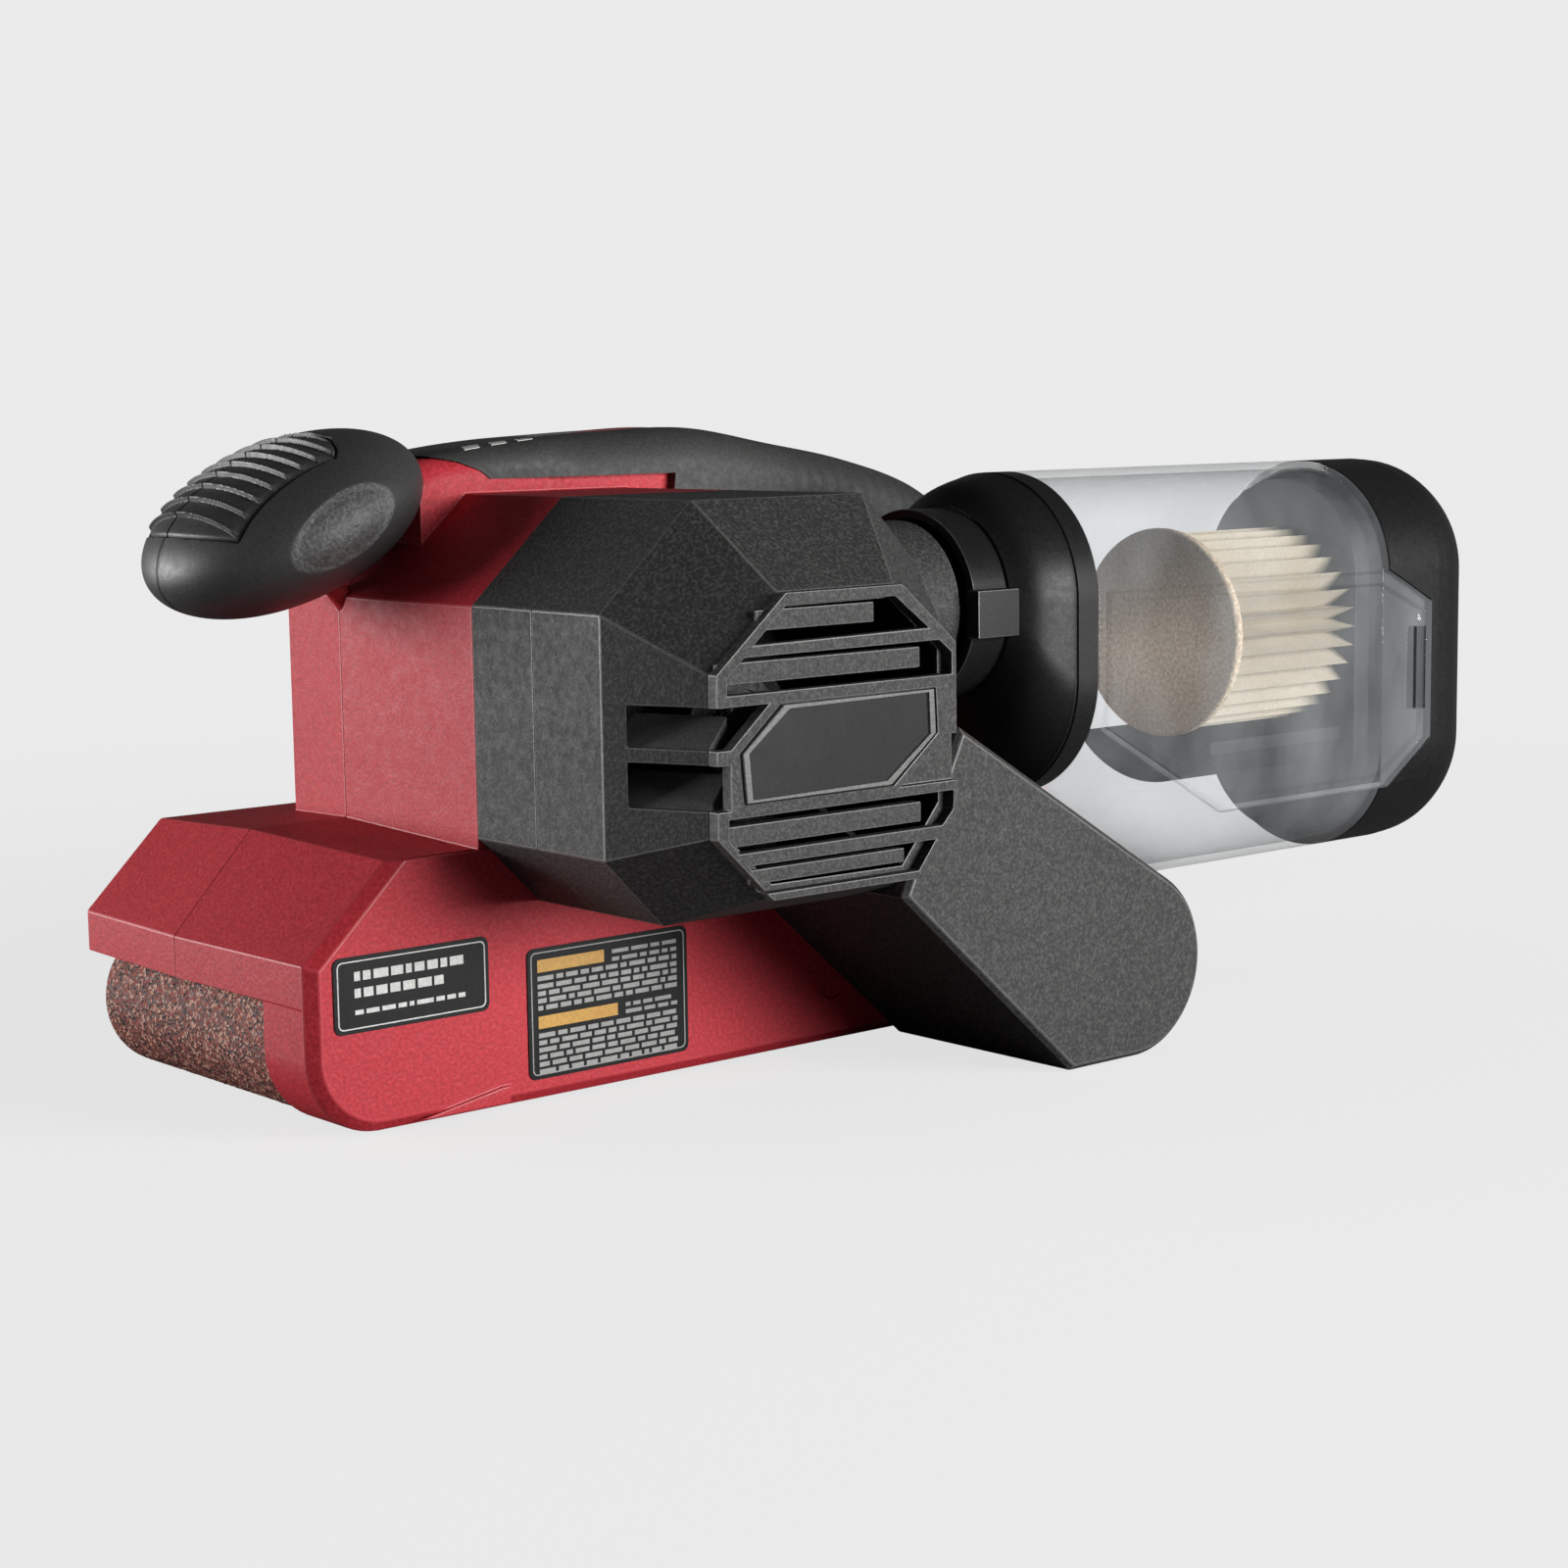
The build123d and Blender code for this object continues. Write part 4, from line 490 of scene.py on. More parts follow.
def smooth_only(thing):
    smooth = thing.modifiers.new("smooth", "NODES")
    smooth.node_group = SMOOTH
    return thing


def spline(table, positions):
    """Smooth curve through the rows of a table, read at fractional row numbers."""
    table = np.asarray(table, float)
    slope = np.gradient(table, axis=0)
    base = np.clip(np.floor(positions).astype(int), 0, len(table) - 2)
    t = (positions - base)[:, None]
    p0, p1, m0, m1 = table[base], table[base + 1], slope[base], slope[base + 1]
    return ((2 * t**3 - 3 * t**2 + 1) * p0 + (t**3 - 2 * t**2 + t) * m0
            + (-2 * t**3 + 3 * t**2) * p1 + (t**3 - t**2) * m1)


# --- sanding belt -------------------------------------------------------------------------
def loop_outline(front, rear, step):
    """Points and outward normals of a taut loop round two circles (x, z, r)."""
    (x0, z0, r0), (x1, z1, r1) = front, rear
    span, slope = hypot(x1 - x0, z1 - z0), atan2(z1 - z0, x1 - x0)
    lean = asin((r1 - r0) / span)
    up, down = slope + pi / 2 + lean, slope - pi / 2 - lean
    points = []

    def arc(x, z, r, a0, a1):
        n = max(2, int(abs(a1 - a0) * r / step))
        for a in np.linspace(a0, a1, n, endpoint=False):
            points.append((x + r * cos(a), z + r * sin(a), cos(a), sin(a)))

    def run(x, z, u, v, r0, r1, a):
        n = max(2, int(hypot(u - x, v - z) / step))
        for t in np.linspace(0, 1, n, endpoint=False):
            points.append((x + (u - x) * t + (r0 + (r1 - r0) * t) * cos(a),
                           z + (v - z) * t + (r0 + (r1 - r0) * t) * sin(a), cos(a), sin(a)))

    run(x0, z0, x1, z1, r0, r1, up)
    arc(x1, z1, r1, up, down)
    run(x1, z1, x0, z0, r1, r0, down)
    arc(x0, z0, r0, down, up - 2 * pi)
    return np.array(points)


def make_belt():
    low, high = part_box("sanding_belt")
    y0, y1 = low.y / MM, high.y / MM
    line = loop_outline(IDLER_LOOP, DRIVE_LOOP, 0.72)
    rng = np.random.default_rng(11)
    across = np.linspace(y0, y1, 106)
    relief = rng.normal(0.0, 0.055, (len(line), len(across))) - 0.10
    relief[:, 0] = relief[:, -1] = -0.12
    vertices = np.empty((len(line), len(across) + 2, 3))
    for j, y in enumerate(across):
        vertices[:, j, 0] = line[:, 0] + line[:, 2] * relief[:, j]
        vertices[:, j, 1] = y
        vertices[:, j, 2] = np.maximum(line[:, 1] + line[:, 3] * relief[:, j], 0.0)
    for j, y in ((len(across), y1), (len(across) + 1, y0)):
        vertices[:, j, 0] = line[:, 0] - line[:, 2] * BELT_T
        vertices[:, j, 1] = y
        vertices[:, j, 2] = line[:, 1] - line[:, 3] * BELT_T
    faces = ring_faces(len(line), len(across) + 2, closed_rows=True)
    stuff = np.zeros((len(line), len(across) + 2), int)
    stuff[:, len(across) - 1:] = 1
    belt = piece("sanding_belt_grit", "sanding_belt", vertices.reshape(-1, 3), faces,
                 [GRIT, CLOTH], stuff.reshape(-1))
    outward(belt)
    return smooth_only(belt)


# --- handle grip ----------------------------------------------------------------------------
def handle_section(row, inset, corner_steps=16, flat_steps=8):
    """Rounded rectangle across the handle, as points round its edge and their outward directions."""
    x, _, half_h, half_w, _ = row
    h, w = half_h - inset, half_w - inset
    rounding = min(1.0, max(0.0, (x + 13.0) / 12.0))
    r = (GRIP_FRONT_CORNER + (GRIP_CORNER - GRIP_FRONT_CORNER) * rounding) * min(h, w)
    points, normals = [], []
    corners = ((w - r, h - r, 0.0), (-(w - r), h - r, pi / 2), (-(w - r), -(h - r), pi),
               (w - r, -(h - r), 1.5 * pi))
    for k, (cy, cz, a0) in enumerate(corners):
        for a in np.linspace(a0, a0 + pi / 2, corner_steps):
            points.append((cy + r * cos(a), cz + r * sin(a)))
            normals.append((cos(a), sin(a)))
        ny, nz, _ = corners[(k + 1) % 4]
        a = a0 + pi / 2
        end = (ny + r * cos(a), nz + r * sin(a))
        last = points[-1]
        for t in np.linspace(0, 1, flat_steps + 2)[1:-1]:
            points.append((last[0] + (end[0] - last[0]) * t, last[1] + (end[1] - last[1]) * t))
            normals.append((cos(a), sin(a)))
    return np.array(points), np.array(normals)


def handle_rows(count):
    return spline(STATIONS, np.linspace(0, len(STATIONS) - 1.0, count))


def grip_relief(x, y, z, side, up):
    """Height of the moulded cross ribs on the rear of the grip, in millimetres."""
    along = (x - 62.0) + 0.55 * (y - HANDLE_Y)
    window = np.clip((x - 60.0) / 4.0, 0, 1) * np.clip((118.0 - x) / 4.0, 0, 1)
    facing = np.clip((up + 0.35) / 0.25, 0, 1) * np.clip((0.93 - up) / 0.1, 0, 1) * np.clip(-side * 3.0, 0, 1)
    wave = (along / 4.6) % 1.0
    ridge = np.where(wave < 0.8, -0.42 * wave / 0.8, -0.42 * (1 - wave) / 0.2)
    return ridge * window * facing


def sweep(rows, inset, relief=None):
    vertices = []
    for row in rows:
        points, normals = handle_section(row, inset)
        x, z, tilt = row[0], row[1], radians(row[4])
        px = x - sin(tilt) * points[:, 1]
        pz = z + cos(tilt) * points[:, 1]
        py = HANDLE_Y + points[:, 0]
        if relief is not None:
            lift = relief(px, py, pz, normals[:, 0], normals[:, 1])
            px = px - sin(tilt) * normals[:, 1] * lift
            pz = pz + cos(tilt) * normals[:, 1] * lift
            py = py + normals[:, 0] * lift
        vertices.append(np.stack([px, py, pz], -1))
    return np.array(vertices)


def make_grip():
    rows = handle_rows(320)
    outer = sweep(rows, 0.0, grip_relief)
    inner = sweep(rows[::4], GRIP_T)
    n = outer.shape[1]
    vertices = np.concatenate([outer.reshape(-1, 3), inner.reshape(-1, 3)])
    faces = [tuple(f) for f in ring_faces(len(outer), n)]
    offset = outer.shape[0] * n
    faces += [tuple(f[::-1] + offset) for f in ring_faces(len(inner), n)]
    last_outer, last_inner = (len(outer) - 1) * n, offset + (len(inner) - 1) * n
    for i in range(n):
        j = (i + 1) % n
        faces.append((i, offset + i, offset + j, j))
        faces.append((last_outer + j, last_inner + j, last_inner + i, last_outer + i))
    grip = piece("handle_grip_rubber", "handle_grip", vertices, faces, [GRIP])
    outward(grip)
    lower = [(-60, 100), (20, 100), (24, 137.2), (-28.7, 137.2), (-31.3, 139.1), (-36.7, 141.2),
             (-46, 143.3), (-60, 147)]
    upright = [(-60.9, 44.0), (-60.9, 111.4), (-35.5, 134.0), (11.0, 134.0), (26.0, 119.0), (26.0, 44.0)]
    box = [(41.6, 100.0), (72.4, 100.0), (72.4, 126.0), (41.6, 126.0)]
    foot = [(60.0, 20.0), (170.0, 20.0), (170.0, 62.0), (60.0, 62.0)]
    inlay = [(-8.0, 143.0), (34.0, 143.0), (34.0, 150.0), (-8.0, 150.0)]
    carve(grip, [
        prism_mesh(lower, -60, 60), prism_mesh(upright, -59.2, 20.0),
        prism_mesh(box, HANDLE_Y - 7.9, HANDLE_Y + 7.9), prism_mesh(foot, -60, 60),
        prism_mesh(inlay, HANDLE_Y - 4.5, HANDLE_Y + 4.5),
        cylinder_mesh("y", (34.0, 127.0), 4.7, HANDLE_Y - 30, HANDLE_Y - 2),
        cylinder_mesh("x", (HANDLE_Y, 84.0), 7.02, 118.0, 165.0),
        cylinder_mesh("x", (HANDLE_Y, 84.0), 9.05, 140.6, 165.0),
    ])
    return smooth_only(grip)


# --- front knob --------------------------------------------------------------------------------
KNOB_TURN = np.array(Matrix.Rotation(radians(KNOB_TILT), 3, "Y"))


def knob_place(local):
    return local @ KNOB_TURN.T + np.array(KNOB_AT)


def pad_margin(u, v):
    """Distance inside the pad's outline, in millimetres; negative outside."""
    side = 20.0 - np.abs(v)
    bend = np.abs(v) / 20.0
    front = u - (-27.2 + 5.0 * bend**2.2)
    rear = (14.5 - 7.0 * bend**3.0) - u
    return np.minimum(side, np.minimum(front, rear))


def groove(distance, width, depth):
    return -depth * np.exp(-((distance / width) ** 2))


def knob_relief(u, v, w):
    """Body of the knob: recess for the pad, mould seam and the two textured ovals."""
    margin = np.where(w > 2.0, pad_margin(u, v), -1.0)
    lift = -1.5 * np.clip((margin + 0.1) / 0.5, 0, 1)
    seam = groove(v - 1.0, 0.28, 0.5) * np.clip((-24.0 - u) / 1.5, 0, 1)
    oval = 1.0 - ((u + 2.0) / 14.2) ** 2 - ((w - 0.4 - 0.10 * (u + 2.0)) / 7.2) ** 2
    return lift + seam - 0.4 * np.clip(oval / 0.28, 0, 1)


def make_knob():
    a, b, c = KNOB_AXES
    turn, tip = 420, 200
    alpha = np.linspace(0, 2 * pi, turn, endpoint=False)
    beta = np.linspace(-pi / 2, pi / 2, tip + 2)[1:-1]
    al, be = np.meshgrid(alpha, beta, indexing="ij")
    u, v, w = a * np.cos(al) * np.cos(be), b * np.sin(be), c * np.sin(al) * np.cos(be)
    normal = np.stack([u / a**2, v / b**2, w / c**2], -1)
    normal /= np.linalg.norm(normal, axis=-1, keepdims=True)
    local = np.stack([u, v, w], -1) + normal * knob_relief(u, v, w)[..., None]
    vertices = knob_place(local.reshape(-1, 3))
    faces = [tuple(f) for f in ring_faces(turn, tip, closed_rows=True, closed_columns=False)]
    ends = knob_place(np.array([(0, -b, 0), (0, b, 0)]))
    vertices = np.concatenate([vertices, ends])
    count = turn * tip
    for i in range(turn):
        j = (i + 1) % turn
        faces.append((i * tip, count, j * tip))
        faces.append((i * tip + tip - 1, j * tip + tip - 1, count + 1))
    knob = piece("front_knob_body", "front_knob", vertices, faces, [KNOB_BLACK, KNOB_PATCH])
    flags = []
    for polygon in knob.data.polygons:
        mid = (np.array(polygon.center) / MM - np.array(KNOB_AT)) @ KNOB_TURN
        oval = 1.0 - ((mid[0] + 2.0) / 14.0) ** 2 - ((mid[2] - 0.4 - 0.10 * (mid[0] + 2.0)) / 7.0) ** 2
        flags.append(1 if oval > 0 and abs(mid[1]) > 15 else 0)
    knob.data.polygons.foreach_set("material_index", np.array(flags, np.int32))
    outward(knob)
    return smooth_only(knob)


def pad_relief(u, v):
    """Transverse steps with a fine raised lip, split by the mould seam."""
    first, pitch = -22.4, 4.25
    bow = 0.012 * v**2 * 0.12
    k = (u - bow - first) / pitch
    frac = k - np.floor(k)
    inside = (k > -0.02) & (u < 12.0)
    step = 0.85 * (1.0 - frac) * np.clip(frac / 0.10, 0, 1)
    lip = 0.28 * np.exp(-(((frac - 0.12) / 0.06) ** 2))
    fade = np.clip((19.0 - np.abs(v)) / 1.2, 0, 1)
    lift = np.where(inside, (step + lip) * fade, 0.0)
    seam = groove(v - 2.0, 0.26, 0.6)
    edge = -0.8 * np.exp(-((pad_margin(u, v) / 0.55) ** 2))
    return lift + seam + edge - 0.35


def make_pad():
    a, b, c = KNOB_AXES
    long, wide = 330, 190
    s = np.linspace(-1, 1, wide)
    t = np.linspace(0, 1, long)
    tt, ss = np.meshgrid(t, s, indexing="ij")
    v = 19.75 * ss
    bend = np.abs(v) / 20.0
    u0, u1 = -26.9 + 5.0 * bend**2.2, 14.2 - 7.0 * bend**3.0
    u = u0 + (u1 - u0) * tt
    w = c * np.sqrt(1 - (u / a) ** 2 - (v / b) ** 2)
    normal = np.stack([u / a**2, v / b**2, w / c**2], -1)
    normal /= np.linalg.norm(normal, axis=-1, keepdims=True)
    base = np.stack([u, v, w], -1)
    top = base + normal * pad_relief(u, v)[..., None]
    bottom = base - normal * 1.48
    vertices = knob_place(np.concatenate([top.reshape(-1, 3), bottom.reshape(-1, 3)]))
    faces = sheet_faces(long, wide)
    pad = piece("knob_pad_ribbed", "knob_pad", vertices, faces, [KNOB_BLACK])
    outward(pad)
    return smooth_only(pad)


# --- dust canister -----------------------------------------------------------------------------
def stadium(half_w, top_c, low_c, arc=48, flat=20):
    """Round-ended upright outline (y, z)."""
    points = []
    for i in range(arc + 1):
        a = pi * i / arc
        points.append((PORT_Y + half_w * cos(a), top_c + half_w * sin(a)))
    for t in np.linspace(0, 1, flat + 2)[1:-1]:
        points.append((PORT_Y - half_w, top_c + (low_c - top_c) * t))
    for i in range(arc + 1):
        a = pi + pi * i / arc
        points.append((PORT_Y + half_w * cos(a), low_c + half_w * sin(a)))
    for t in np.linspace(0, 1, flat + 2)[1:-1]:
        points.append((PORT_Y + half_w, low_c + (top_c - low_c) * t))
    return points


def tube_run(outer, inner):
    """Closed hollow run through stations (x, half_w, top_c, low_c); inner runs the same way."""
    blocks, vertices = [], []
    for table in (outer, inner):
        for x, half_w, top_c, low_c in table:
            points = stadium(half_w, top_c, low_c)
            vertices += [(x, y, z) for y, z in points]
        blocks.append(len(table))
    n = len(vertices) // (blocks[0] + blocks[1])
    shift = blocks[0] * n
    faces = [tuple(f) for f in ring_faces(blocks[0], n)]
    faces += [tuple(f[::-1] + shift) for f in ring_faces(blocks[1], n)]
    for first, second in ((0, shift), ((blocks[0] - 1) * n, shift + (blocks[1] - 1) * n)):
        for i in range(n):
            j = (i + 1) % n
            faces.append((first + i, first + j, second + j, second + i))
    return vertices, faces


def framed_panel(points, y_out, y_in, inset, floor):
    """Raised panel with a sloped rim round a lower field."""
    n = len(points)
    centre = sum(p[0] for p in points) / n, sum(p[1] for p in points) / n
    rings = [(points, y_in), (points, y_out + 0.9)]
    for amount, y in ((0.9, y_out), (inset - 1.0, y_out), (inset, floor)):
        rings.append((drawn_in(points, centre, amount * 1.25), y))
    vertices = [(x, y, z) for outline, y in rings for x, z in outline]
    faces = [tuple(f) for f in ring_faces(len(rings), n)]
    faces += [tuple(range(n)), tuple(reversed(range((len(rings) - 1) * n, len(rings) * n)))]
    return vertices, faces


def make_canister():
    wall = 2.0
    outer = [(94.5, CAN_HALF_W, CAN_TOP_C, CAN_LOW_FRONT), (95.6, CAN_HALF_W, CAN_TOP_C, 86.4),
             (140, CAN_HALF_W, CAN_TOP_C, CAN_LOW), (204, CAN_HALF_W, CAN_TOP_C, CAN_LOW),
             (205, CAN_HALF_W, CAN_TOP_C, CAN_LOW)]
    inner = [(x, half - wall, top, low) for x, half, top, low in outer]
    vertices, faces = tube_run(outer, inner)
    bin_body = piece("canister_clear", "canister_body", vertices, faces, [CLEAR])
    outward(bin_body)
    panel = framed_panel(PANEL, -97.2, -94.2, 5.0, -96.3)
    slot = prism_mesh([(215.5, 70.0), (219.5, 70.0), (219.5, 92.0), (215.5, 92.0)], -105, -90)
    carve(bin_body, [panel], "UNION")
    carve(bin_body, [slot])
    return soften(bin_body, 0.3, None, 40)


def make_adapter():
    stations = [(71.0, 23.7, 105.0, 104.9), (77.0, 27.4, CAN_TOP_C, 96.0),
                (86.5, CAN_HALF_W, CAN_TOP_C, CAN_LOW_FRONT)]
    rows = spline(stations, np.linspace(0, 2, 26))
    outer = [tuple(row) for row in rows]
    outer = outer[:-1] + [(86.2, 29.95, CAN_TOP_C, 87.2), (86.6, 29.55, CAN_TOP_C, CAN_LOW_FRONT),
                          (87.2, 29.55, CAN_TOP_C, CAN_LOW_FRONT),
                          (87.5, CAN_HALF_W, CAN_TOP_C, CAN_LOW_FRONT),
                          (94.0, CAN_HALF_W, CAN_TOP_C, CAN_LOW_FRONT),
                          (94.45, 29.7, CAN_TOP_C, CAN_LOW_FRONT)]
    inner = [(70.5, 20.5, 105.0, 104.9), (77.0, 24.8, CAN_TOP_C, 96.0),
             (86.5, 27.6, CAN_TOP_C, CAN_LOW_FRONT), (94.45, 27.6, CAN_TOP_C, CAN_LOW_FRONT)]
    vertices, faces = tube_run(outer, inner)
    hood = piece("canister_hood", "canister_adapter", vertices, faces, [BLACK])
    outward(hood)
    tab = [(59.0, 98.35), (72.45, 98.35), (72.45, 109.65), (59.0, 109.65)]
    carve(hood, [prism_mesh(tab, PORT_Y - 25.2, PORT_Y - 20.95)])
    return smooth_only(hood)


def make_end_cap():
    outer = [(205.3, 29.7, CAN_TOP_C, CAN_LOW), (205.7, CAN_HALF_W, CAN_TOP_C, CAN_LOW),
             (226, CAN_HALF_W, CAN_TOP_C, CAN_LOW)]
    bends = spline([(226.0, 0.0), (233.0, 0.7), (238.0, 2.6), (242.5, 5.4), (246.0, 9.0)],
                   np.linspace(0, 4, 20))
    outer += [(x, CAN_HALF_W - inset, CAN_TOP_C, CAN_LOW) for x, inset in bends[1:]]
    outer.append((246.0, CAN_HALF_W - 9.8, CAN_TOP_C, CAN_LOW))
    inner = [(205.3, 27.4, CAN_TOP_C, CAN_LOW), (226, 27.4, CAN_TOP_C, CAN_LOW),
             (237, 24.6, CAN_TOP_C, CAN_LOW), (243.2, 19.5, CAN_TOP_C, CAN_LOW)]
    vertices, n = [], None
    for x, half_w, top_c, low_c in outer + inner[::-1]:
        points = stadium(half_w, top_c, low_c)
        n = len(points)
        vertices += [(x, y, z) for y, z in points]
    k = len(outer)
    faces = [tuple(f) for f in ring_faces(k, n)]
    faces.append(tuple((k - 1) * n + i for i in range(n)))
    faces.append(tuple(k * n + i for i in reversed(range(n))))
    faces += [tuple(f + k * n) for f in ring_faces(len(inner), n)]
    last = (k + len(inner) - 1) * n
    faces += [(last + i, last + (i + 1) % n, (i + 1) % n, i) for i in range(n)]
    cap = piece("canister_cap", "end_cap", vertices, faces, [BLACK])
    outward(cap)
    g = 0.4
    notch = [(200.0, 107.5 + g), (205.0 + g, 107.5 + g), (223.0 + g, 98.5 + g), (223.0 + g, 62.0 - g),
             (205.0 + g, 50.0 - g), (200.0, 50.0 - g)]
    cuts = [prism_mesh(notch, -110, -93.8)]
    for i in range(5):
        z = 93.0 + (i - 2) * 8.0
        slot = [(212, z - 1.6), (224, z - 1.6), (224, z + 1.6), (212, z + 1.6)]
        cuts.append(prism_mesh(slot, -42.0, -31.0))
    carve(cap, cuts)
    floor = prism_mesh([(205.4, 107.6), (222.8, 98.6), (222.8, 62.0), (205.4, 50.0)], -93.7, -91.5)
    carve(cap, [floor], "UNION")
    # Bevels in the paler black: a painted highlight along the cap's edges.
    return soften(cap, 0.4, BLACK_EDGE_HIGHLIGHT, 40)


# --- labels and badge ----------------------------------------------------------------------------
def rounded_rect(x0, z0, x1, z1, r, steps=6):
    points = []
    for cx, cz, a0 in ((x1 - r, z1 - r, 0), (x0 + r, z1 - r, pi / 2), (x0 + r, z0 + r, pi),
                       (x1 - r, z0 + r, 1.5 * pi)):
        for a in np.linspace(a0, a0 + pi / 2, steps):
            points.append((cx + r * cos(a), cz + r * sin(a)))
    return points


def make_label(node, boxes, bars, face_y, ink, margin=0.9):
    low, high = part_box(node)
    x0, x1, z0, z1 = (value / MM for value in (low.x, high.x, low.z, high.z))
    vertices, faces, stuff = [], [], []

    def put(points, y0, y1, which):
        more, quads = prism_mesh(points, y0, y1)
        shift = len(vertices)
        vertices.extend(more)
        faces.extend(tuple(i + shift for i in f) for f in quads)
        stuff.extend([which] * len(quads))

    put(rounded_rect(x0, z0, x1, z1, 1.8), face_y - 0.31, face_y, 0)
    outer = rounded_rect(x0 + margin, z0 + margin, x1 - margin, z1 - margin, 1.3)
    inner = rounded_rect(x0 + margin + 0.28, z0 + margin + 0.28, x1 - margin - 0.28, z1 - margin - 0.28, 1.1)
    n, shift = len(outer), len(vertices)
    for y in (face_y - 0.35, face_y - 0.30):
        vertices.extend((x, y, z) for x, z in outer)
        vertices.extend((x, y, z) for x, z in inner)
    for i in range(n):
        j = (i + 1) % n
        a, b, c, d = i, j, n + j, n + i
        for quad in ((a, d, c, b), (2 * n + a, 2 * n + b, 2 * n + c, 2 * n + d),
                     (a, b, 2 * n + b, 2 * n + a), (d, 2 * n + d, 2 * n + c, c)):
            faces.append(tuple(shift + q for q in quad))
            stuff.append(1)
    for which, group in ((1, boxes), (2, bars)):
        for bx0, bz0, bx1, bz1 in group:
            px0, px1 = x0 + bx0 * (x1 - x0), x0 + bx1 * (x1 - x0)
            pz0, pz1 = z0 + bz0 * (z1 - z0), z0 + bz1 * (z1 - z0)
            put([(px0, pz0), (px1, pz0), (px1, pz1), (px0, pz1)], face_y - 0.35, face_y - 0.30, which)
    label = piece(node + "_plate", node, vertices, faces, [FILM, ink, AMBER], stuff,
                  smooth=False)
    return outward(label)


def dashes(rows, seed):
    """Short bars in rows, as generic print: (row height range, left, right) each."""
    rng = np.random.default_rng(seed)
    boxes = []
    for z0, z1, left, right in rows:
        x = left
        while x < right - 0.03:
            width = float(rng.uniform(0.03, 0.11))
            end = min(x + width, right)
            boxes.append((x, z0, end, z1))
            x = end + 0.018
    return boxes


def make_badge():
    outline = [(-34.0, 93.4), (8.9, 93.4), (9.4, 83.8), (-3.5, 73.6), (-44.2, 73.6), (-45.2, 84.0)]
    centre = (-18.2, 83.5)
    levels = ((0.5, BADGE_Y + 1.4), (0.5, BADGE_Y + 0.2), (0.7, BADGE_Y), (1.9, BADGE_Y),
              (2.1, BADGE_Y + 0.5))
    rings = [(drawn_in(outline, centre, amount * 1.18), y) for amount, y in levels]
    n = len(outline)
    vertices = [(x, y, z) for points, y in rings for x, z in points]
    faces = [tuple(f) for f in ring_faces(len(rings), n)]
    stuff = [0] * len(faces)
    faces += [tuple(range(n)), tuple(reversed(range((len(rings) - 1) * n, len(rings) * n)))]
    stuff += [0, 1]
    # Rim in the paler charcoal: a painted highlight round the badge.
    badge = piece("badge_blank", "badge_plate", vertices, faces, [CHARCOAL_EDGE_HIGHLIGHT, BADGE],
                  stuff, smooth=False)
    return outward(badge)


def make_vent_wedges():
    """Slanted floors just inside the two openings beside the badge, along the cover's front facet, in the
    paler charcoal: painted light on faces the lamps leave dark.
    """
    start_x, start_y, along = -60.9, -104.5, (0.402, -0.916)
    inward = (0.916, 0.402)
    vertices, faces = [], []
    for low_z, high_z in ((72.2, 79.2), (84.5, 91.0)):
        shift = len(vertices)
        for reach in (1.5, 23.6):
            for depth, z in ((0.9, low_z), (10.0, low_z), (10.0, high_z)):
                vertices.append((start_x + along[0] * reach + inward[0] * depth,
                                 start_y + along[1] * reach + inward[1] * depth, z))
        faces += [tuple(i + shift for i in f) for f in
                  ((0, 1, 2), (5, 4, 3), (0, 3, 4, 1), (1, 4, 5, 2), (2, 5, 3, 0))]
    mesh = bpy.data.meshes.new("vent_wedges")
    mesh.from_pydata([tuple(c * MM for c in v) for v in vertices], [], faces)
    # Paler charcoal: painted light on the wedges' faces.
    mesh.materials.append(CHARCOAL_EDGE_HIGHLIGHT)
    wedges = bpy.data.objects.new("vent_wedges", mesh)
    bpy.context.scene.collection.objects.link(wedges)
    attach(wedges, BODY_OF["motor_cover"])
    return soften(outward(wedges), 0.4)


def make_ticks(grip):
    """Three pale printed ticks laid on the grip ahead of the red inlay."""
    surface_tree = BVHTree.FromPolygons([v.co / MM for v in grip.data.vertices],
                                        [p.vertices for p in grip.data.polygons])
    long, wide = 7, 5
    vertices, faces = [], []
    for x0 in (-33.0, -25.5, -18.0):
        shift = len(vertices)
        for lift in (0.12, -0.3):
            for i in range(long):
                for j in range(wide):
                    x = x0 + 4.2 * i / (long - 1) + 1.2 * j / (wide - 1)
                    y = -17.6 + 3.0 * j / (wide - 1)
                    hit = surface_tree.ray_cast(Vector((x, y, 170.0)), Vector((0.0, 0.0, -1.0)))[0]
                    vertices.append((x, y, hit.z + lift))
        faces += [tuple(i + shift for i in f) for f in sheet_faces(long, wide)]
    mesh = bpy.data.meshes.new("grip_ticks")
    mesh.from_pydata([tuple(c * MM for c in v) for v in vertices], [],
                     [tuple(int(i) for i in f) for f in faces])
    mesh.materials.append(INK)
    ticks = bpy.data.objects.new("grip_ticks", mesh)
    bpy.context.scene.collection.objects.link(ticks)
    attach(ticks, BODY_OF["handle_grip"])
    return outward(ticks)


